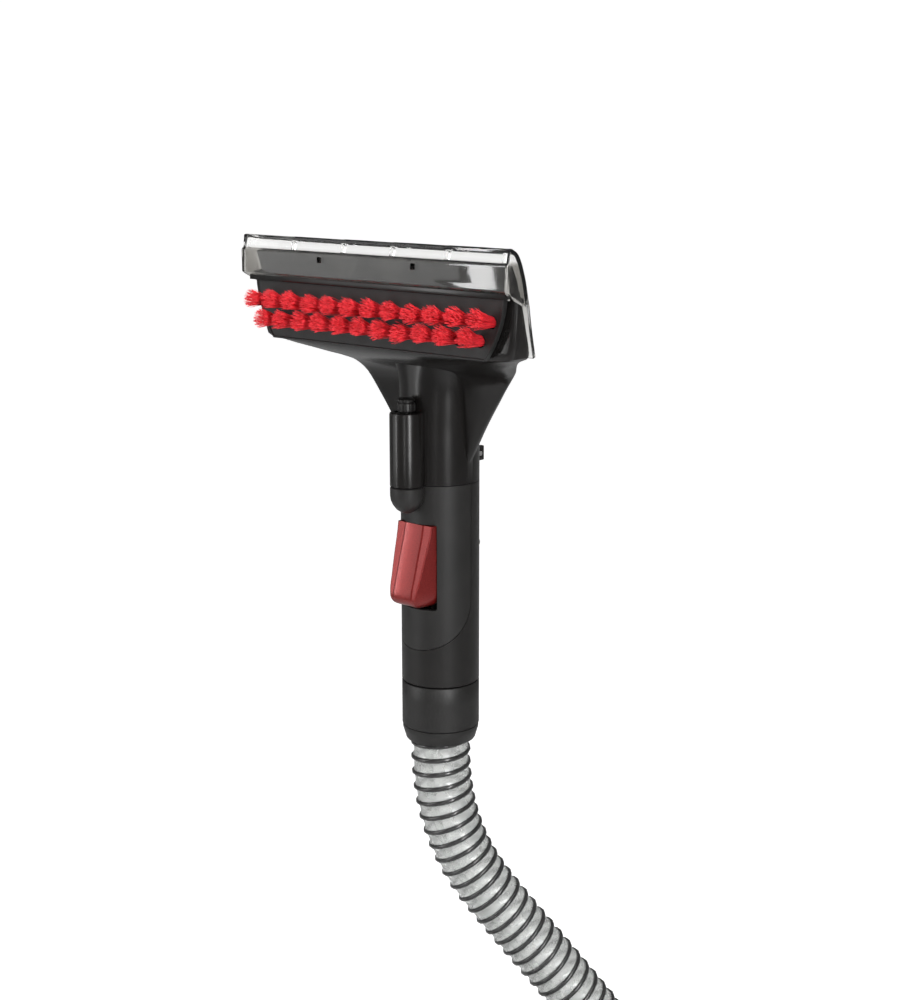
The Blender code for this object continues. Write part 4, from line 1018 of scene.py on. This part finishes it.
# Height, front y, half distance between the ridges and how much narrower than TRIGGER_HALF.
TRIGGER_STATIONS = [
    (TRIGGER_LOW_Z, -0.0215, 0.0056, 0.0042), (0.0060, -0.0243, 0.0066, 0.0026),
    (0.0076, -0.0264, 0.0074, 0.0012), (0.0100, -0.0273, 0.0080, 0.0003),
    (0.0130, -0.0270, 0.0084, 0.0), (0.0200, -0.0250, 0.0091, 0.0),
    (0.0300, -0.0222, 0.0099, 0.0), (0.0400, -0.0193, 0.0106, 0.0),
    (TRIGGER_TOP_Z, -0.0183, 0.0108, 0.0),
]
FEED_Z = 0.0602
SCREW_X = 0.0132
SCREW_Z = 0.0330


def cover_shell(name, inner, outer, margin, material=None, columns=72, rows=30):
    """Front shell with a U-shaped lower end, from rows down each column of the wall."""
    span = COVER_HALF_ANGLE + margin / GRIP_RADIUS
    bm = bmesh.new()
    grid = {}
    for c in range(columns + 1):
        share = math.sin((2 * c / columns - 1) * math.pi / 2)
        angle = span * share
        low = COVER_STRAIGHT_Z - (COVER_ROUND + margin) * math.sqrt(max(0.0, 1 - share * share))
        for r in range(rows + 1):
            z = low + (SEAM_Z + 2 * margin - low) * r / rows
            for side, radius in (("in", inner), ("out", outer)):
                grid[c, r, side] = bm.verts.new((radius * math.sin(angle), -radius * math.cos(angle), z))
    for c in range(columns):
        for r in range(rows):
            for side in ("in", "out"):
                bm.faces.new([grid[c + i, r + j, side] for i, j in ((0, 0), (1, 0), (1, 1), (0, 1))])
        for r in (0, rows):
            bm.faces.new([grid[c, r, "in"], grid[c + 1, r, "in"], grid[c + 1, r, "out"], grid[c, r, "out"]])
    for r in range(rows):
        for c in (0, columns):
            bm.faces.new([grid[c, r, "in"], grid[c, r + 1, "in"], grid[c, r + 1, "out"], grid[c, r, "out"]])
    return finish_mesh(name, bm, material)


def make_cover():
    """Front cover with the pod's rounded boss, the trigger's opening and its ears and posts."""
    cover = cover_shell("cover", GRIP_RADIUS - WALL, GRIP_RADIUS, 0.0, "charcoal")
    boss = rod("boss", [(0.0004, 0.0510), (0.0030, 0.0518), (0.0050, 0.0532), (0.0067, 0.0554),
                        (0.0077, 0.0577), (POD_RADIUS, 0.0598), (POD_RADIUS, SEAM_Z - 0.0004),
                        (POD_RADIUS - 0.0004, SEAM_Z)], base=(0.0, POD_Y, 0.0), sides=72)
    cut(boss, peg("inner_clear", GRIP_RADIUS - WALL / 2, 0.03, 0.08, sides=96))
    ears = [block("pivot_ear", (s * 0.0126 - 0.0009, -0.0120, 0.0405),
                  (s * 0.0126 + 0.0009, -0.0075, 0.0455)) for s in (-1, 1)]
    posts = [peg("screw_post", 0.0026, -0.0105, 0.0003, base=(s * SCREW_X, 0.0, SCREW_Z),
                 along=(0, 1, 0), sides=24) for s in (-1, 1)]
    join(cover, boss, *ears, *posts)
    half = TRIGGER_HALF + 0.0004
    low = TRIGGER_LOW_Z - TRIGGER_DROP
    high = TRIGGER_TOP_Z + 0.0004
    outline = rounded([(-half, low), (half, low), (half, high), (-half, high)], 0.0012, 5)
    opening = prism_y("opening", outline, -0.0300, -0.0105)
    well = peg("well", 0.0040, 0.0557, 0.0800, base=(0.0, POD_Y, 0.0), sides=32)
    water_way = peg("water_way", 0.0022, -0.0250, -0.0120, base=(0.0, 0.0, FEED_Z), along=(0, 1, 0), sides=24)
    holes = [peg("post_hole", 0.0016, -0.0075, 0.0050, base=(s * SCREW_X, 0.0, SCREW_Z),
                 along=(0, 1, 0), sides=24) for s in (-1, 1)]
    pivot = peg("pivot_hole", 0.00155, -0.0134, 0.0134, base=TRIGGER_PIVOT, along=(1, 0, 0), sides=24)
    cut(cover, opening, well, water_way, pivot, *holes)
    settle(cover, "front_cover", "grip", ("grip_front_cover",), "charcoal_matte", 0.0003)


def make_rear():
    """Rear shell of the grip, cut along the front cover's edge."""
    inner = GRIP_RADIUS - WALL
    low = CUFF_TOP_Z + GAP
    profile = [(GRIP_RADIUS - 0.0003, SEAM_Z), (inner, SEAM_Z), (inner, low), (GRIP_RADIUS - 0.0003, low),
               (GRIP_RADIUS, low + 0.0003)]
    profile += [(GRIP_RADIUS, low + 0.0003 + (SEAM_Z - low - 0.0006) * i / 24) for i in range(1, 25)]
    shell = turned("rear", profile, "black_satin", sides=128)
    front = cover_shell("front", inner - 0.002, GRIP_RADIUS + 0.002, GAP)
    cut(shell, front)
    posts = [peg("rear_post", 0.0026, 0.0016, 0.0108, base=(s * SCREW_X, 0.0, SCREW_Z),
                 along=(0, 1, 0), sides=24) for s in (-1, 1)]
    join(shell, *posts)
    holes = [rod("rear_hole", [(0.0016, 0.0), (0.0016, 0.0102), (0.0027, 0.0104), (0.0027, 0.0200)],
                 base=(s * SCREW_X, 0.0, SCREW_Z), along=(0, 1, 0), sides=32) for s in (-1, 1)]
    notch = block("notch", (-0.0042, 0.0174, 0.0490), (0.0042, 0.0220, SEAM_Z + 0.0020))
    cut(shell, notch, *holes)
    settle(shell, "rear_cover", "grip", ("grip_rear_shell",), "black_satin", 0.00022)


def make_trigger():
    """Red lever with a ridge down each side of its front and a faint crease inside it."""
    heights = np.concatenate((np.linspace(TRIGGER_LOW_Z, 0.0100, 10), np.linspace(0.0110, 0.0440, 24),
                              (TRIGGER_TOP_Z,)))
    rings = []
    for z, front, ridge, narrow in smooth_table(TRIGGER_STATIONS, heights):
        half = TRIGGER_HALF - narrow
        edge = max(TRIGGER_EDGE_Y, front + 0.0024)
        low_share = eased(z, 0.0060, 0.0130)
        crease = min(TRIGGER_CREASE_X, ridge - 0.0015)
        left = [(-half, TRIGGER_BACK_Y, z), (-half, edge, z),
                (-half + (half - ridge) * 0.55, edge + (front - edge) * 0.62, z),
                (-ridge - 0.0002, front + 0.0005, z), (-ridge + 0.0004, front + 0.00012, z),
                (-crease - 0.0004, front + 0.00022 * low_share, z),
                (-crease + 0.0004, front - 0.00018 * low_share, z),
                (-0.0030, front + 0.0001, z)]
        rings.append(left + [(0.0, front + 0.0001, z)] + [(-x, y, h) for x, y, h in reversed(left)])
    trigger = finish_mesh("lever_body", skin(rings), "trigger")
    cavity_rings = []
    for z, front, ridge, narrow in reversed(TRIGGER_STATIONS[3:]):
        half = min(TRIGGER_HALF - narrow, ridge + 0.0012) - 0.0020
        cavity_rings.append([(-half, -0.0100, z), (-half, front + 0.0034, z), (half, front + 0.0034, z),
                             (half, -0.0100, z)])
    cavity_rings[0] = [(x, y, z - 0.0022) for x, y, z in cavity_rings[0]]
    cut(trigger, finish_mesh("trigger_cavity", skin(cavity_rings), None))
    lugs = []
    for side in (-1, 1):
        reach = sorted((side * 0.0084, side * 0.0109))
        lugs.append(peg("lug", 0.0024, *reach, base=TRIGGER_PIVOT, along=(1, 0, 0), sides=24))
        lugs.append(block("arm", (reach[0], -0.0140, 0.0410), (reach[1], -0.0095, 0.0450)))
    rib = block("push_rib", (-0.0022, -0.0225, 0.0180), (0.0022, -0.01610, 0.0228))
    join(trigger, *lugs, rib)
    pivot = peg("trigger_pivot_hole", 0.0015, -0.0130, 0.0130, base=TRIGGER_PIVOT, along=(1, 0, 0), sides=24)
    line_notch = block("line_notch", (-0.0030, -0.0160, 0.0040), (0.0030, -0.0110, 0.0100))
    cut(trigger, pivot, line_notch)
    settle(trigger, "spray_trigger", "trigger", ("trigger",), "red_metallic", 0.0005, segments=3, limit=24.0)


def fine_spring(name, node, body, base, along, radius, wire, length, turns):
    """Coil spring of round wire that replaces the node."""
    along = Vector(along).normalized()
    start = along.orthogonal().normalized()
    side = along.cross(start)
    per_turn = 28
    steps = int(turns * per_turn)
    points = []
    for i in range(steps + 1):
        t = 2 * math.pi * i / per_turn
        height = wire + (length - 2 * wire) * i / steps
        points.append(Vector(base) + along * height + radius * (math.cos(t) * start + math.sin(t) * side))
    return finish_mesh(name, tube_bm(points, wire, 10), "steel", body=body, replaces=(node,),
                       slot="steel", sharp=180.0)


def make_hardware():
    """Springs and the two cross-head screws."""
    fine_spring("trigger_return_spring", "trigger_spring", "grip",
                Vector(TRIGGER_PIVOT) - Vector((0.0030, 0.0, 0.0)), (1, 0, 0), 0.0019, 0.0003, 0.0060, 5)
    fine_spring("valve_return_spring", "valve_spring", "grip", (0.0, -0.0090, 0.0204), (0, 1, 0),
                0.0020, 0.00025, 0.0030, 3)
    fine_spring("rocker_spring", "release_lever_spring", "tool", (0.0, 0.0193, 0.0885), (0, 1, 0),
                0.0018, 0.0003, 0.0019, 2.5)
    for side, node in ((-1, "grip_screw_left"), (1, "grip_screw_right")):
        screw = rod("screw", [(0.0012, -0.0068), (0.0012, 0.0106), (0.0021, 0.0107), (0.0023, 0.0109),
                              (0.0023, 0.0117), (0.0019, 0.0122), (0.0012, 0.0124)], "steel",
                    (side * SCREW_X, 0.0, SCREW_Z), (0, 1, 0), sides=32)
        crosses = [block("cross", (side * SCREW_X - a, 0.0113, SCREW_Z - b),
                         (side * SCREW_X + a, 0.0140, SCREW_Z + b))
                   for a, b in ((0.0014, 0.00028), (0.00028, 0.0014))]
        cut(screw, *crosses)
        settle(screw, "cross_screw_" + ("left" if side < 0 else "right"), "grip", (node,), "steel")


# ---- cuff and machine end --------------------------------------------------------------
def make_cuff():
    """Swivel cuff and the ring below it."""
    turned("swivel_cuff", [(0.0190, CUFF_RING_Z + GAP + 0.0003), (0.0190, -0.0530), (0.0190, -0.0450),
                           (0.0190, CUFF_TOP_Z - 0.0008), (0.0187, CUFF_TOP_Z - 0.0004),
                           (0.0183, CUFF_TOP_Z - GAP), (0.0162, CUFF_TOP_Z - GAP), (0.0162, -0.0290),
                           (0.0148, -0.0290), (0.0148, -0.0372), (0.0156, -0.0380),
                           (0.0156, CUFF_RING_Z + GAP), (0.0187, CUFF_RING_Z + GAP)], "cuff",
           sides=128, body="hose", replaces=("hose_cuff",), slot="charcoal_matte")
    turned("swivel_ring", [(0.0184, CUFF_RING_Z), (0.0187, CUFF_RING_Z - 0.0003),
                           (0.0187, CUFF_RING_Z - 0.0018), (0.0184, CUFF_RING_Z - 0.0028),
                           (0.0172, CUFF_END_Z + 0.0004), (0.0169, CUFF_END_Z), (0.0157, CUFF_END_Z),
                           (0.0156, CUFF_END_Z + 0.0002), (0.0156, CUFF_RING_Z)], "cuff",
           sides=128, body="hose", replaces=("cuff_ring",), slot="charcoal_matte")


def latch_block(name, half, low, high, near, far, material=None, bevel=0.0):
    """Block with round corners on the connector's side, between two distances from its axis."""
    corners = rounded([(-half, low), (half, low), (half, high), (-half, high)], 0.0008, 4)
    rings = [[COIL_END + ACROSS * a + UP * z + ASIDE * aside for a, z in corners] for aside in (near, far)]
    return finish_mesh(name, skin(rings), material, bevel=bevel)


def make_machine_end():
    """Fluted cuff, connector with its solution port, press latch, spring and O-ring."""
    cuff_profile = [(0.0174, GAP), (0.0178, GAP + 0.0004), (0.0186, 0.0020), (0.0186, 0.0277),
                    (0.0183, 0.0280), (0.0130, 0.0280), (0.0130, GAP)]
    cuff = turned("end_cuff", cuff_profile, "cuff", COIL_END, sides=96)
    flutes = [peg("flute", 0.0007, 0.0060, 0.0240, sides=10,
                  base=COIL_END + (ACROSS * math.cos(a) + ASIDE * math.sin(a)) * 0.0189)
              for a in np.arange(24) * 2 * math.pi / 24]
    cut(cuff, *flutes)
    settle(cuff, "machine_end_cuff", "hose", ("machine_cuff",), "charcoal_matte")
    body = turned("connector", [(0.0212, 0.0283), (0.0215, 0.0286), (0.0215, 0.0337), (0.0212, 0.0340),
                                (0.0170, 0.0341), (0.0165, 0.0346), (0.0165, 0.0640), (0.0150, 0.0660),
                                (0.0150, 0.0735), (0.0143, 0.0740), (0.0143, 0.0760), (0.0150, 0.0765),
                                (0.0150, 0.0846), (0.0146, 0.0850), (0.0122, 0.0850), (0.0120, 0.0848),
                                (0.0120, 0.0283)], "black_satin", COIL_END, sides=96)
    port_axis = COIL_END - ACROSS * 0.0235
    port = rod("port", [(0.0057, 0.0300), (0.0060, 0.0303), (0.0060, 0.0636), (0.0056, 0.0640)],
               base=port_axis, sides=48)
    turn = [(-0.0190, -0.0070), (-0.0190, 0.0070), (0.0080, 0.0070), (0.0080, -0.0070)]
    bridge_low = [COIL_END - ACROSS * 0.0140 + ACROSS * a * 0.4 + ASIDE * b * 0.5 + UP * 0.0300
                  for a, b in turn]
    bridge = finish_mesh("bridge", skin([bridge_low, [p + UP * 0.0300 for p in bridge_low]]), None)
    frame_block = latch_block("latch_frame", 0.0070, 0.0360, 0.0590, 0.0140, 0.0200)
    join(body, port, bridge, frame_block)
    bore = peg("bore", 0.0120, 0.0200, 0.0900, base=COIL_END, sides=96)
    port_bore = peg("port_bore", 0.0032, 0.0340, 0.0700, base=port_axis, sides=32)
    pocket = latch_block("pocket", 0.0055, 0.0375, 0.0575, 0.0170, 0.0300)
    cut(body, bore, port_bore, pocket)
    settle(body, "connector_body", "hose", ("machine_connector",), "black_satin", 0.0003)
    latch = latch_block("press_latch", 0.0051, 0.0379, 0.0571, 0.0190, 0.0218, "black_gloss")
    grooves = []
    for z in (0.0430, 0.0465, 0.0500, 0.0535):
        rings = [[COIL_END + ACROSS * a + UP * (z + h) + ASIDE * n for a, h in
                  ((-0.0040, -0.0004), (0.0040, -0.0004), (0.0040, 0.0004), (-0.0040, 0.0004))]
                 for n in (0.0213, 0.0230)]
        grooves.append(finish_mesh("groove", skin(rings), None))
    cut(latch, *grooves)
    round_edges(latch, 0.0003)
    place(latch, "connector_latch", ("connector_latch",))
    spring = fine_spring("latch_return_spring", "latch_spring", "hose",
                         COIL_END + ASIDE * 0.0172 + UP * 0.0475, ASIDE, 0.0022, 0.0002, 0.0016, 2)
    rings = [ring_points(COIL_END + UP * (0.0750 + 0.0013 * math.sin(t)), 0.0158 + 0.0013 * math.cos(t), 96)
             for t in np.arange(16) * 2 * math.pi / 16]
    ring = finish_mesh("o_ring", skin(rings, closed=True), "rubber",
                       body="hose", replaces=("connector_seal",), slot="black_rubber", sharp=180.0)
    return [cuff, body, latch, spring, ring]


def make_tie(name, node, clock):
    """Woven strap round both turns."""
    aside = coil_aside(clock + 2 * math.pi)
    half_width = 0.0100
    loose = 0.0011
    thick = 0.0018
    rings = []
    count = 96
    for i in range(count):
        t = 2 * math.pi * (i + 0.5) / count
        c = math.cos(t)
        s = math.sin(t)
        ring = []
        for extra, along in ((loose, -1), (loose + 0.0002, -1), (loose + thick - 0.0003, -1),
                             (loose + thick, -0.97), (loose + thick, 0.97), (loose + thick - 0.0003, 1),
                             (loose + 0.0002, 1), (loose, 1)):
            r = (HOSE_RADIUS + extra) * math.copysign(abs(c) ** 0.28, c)
            n = (aside / 2 + HOSE_RADIUS + extra) * math.copysign(abs(s) ** 0.28, s)
            ring.append(coil_point(clock + along * half_width / COIL_RADIUS, COIL_RADIUS + r,
                                   aside / 2 + n))
        rings.append(ring)
    return finish_mesh(name, skin(rings, closed=True), "strap", body="hose", replaces=(node,),
                       slot="strap")


# ---- carried-over CAD nodes ------------------------------------------------------------
def finish_nodes():
    """Give each CAD node that stays visible its procedural finish."""
    kept = {
        "window_seal": "rubber", "pod_seal": "rubber", "neck_seal": "rubber", "swivel_seal": "rubber",
        "hose_sleeve": "rubber", "release_lever_pin": "steel", "trigger_pivot_pin": "steel",
        "valve_plunger": "steel", "valve_body": "acetal", "fluid_connector_pin": "acetal",
        "solution_nipple": "acetal", "solution_tube_lower": "tube", "solution_tube_upper": "tube",
        "solution_line": "tube", "grip_airway_tube": "black_satin",
    }
    for node, finish in kept.items():
        for material_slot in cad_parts[node].material_slots:
            material_slot.material = FINISH[finish]


FINISH = make_finishes()
make_camera()
make_stage()
hose, helix, line_inside, hose_length = make_hose()
make_head()
make_window()
make_brush()
make_pod()
make_lever()
make_cover()
make_rear()
make_trigger()
make_hardware()
make_cuff()
end_pieces = make_machine_end()
end_ties = [make_tie("strap_left", "hose_tie_left", math.radians(238.0)),
            make_tie("strap_right", "hose_tie_right", math.radians(122.0))]
finish_nodes()
[tuple(p) for p in hose_line()[0][::8]]
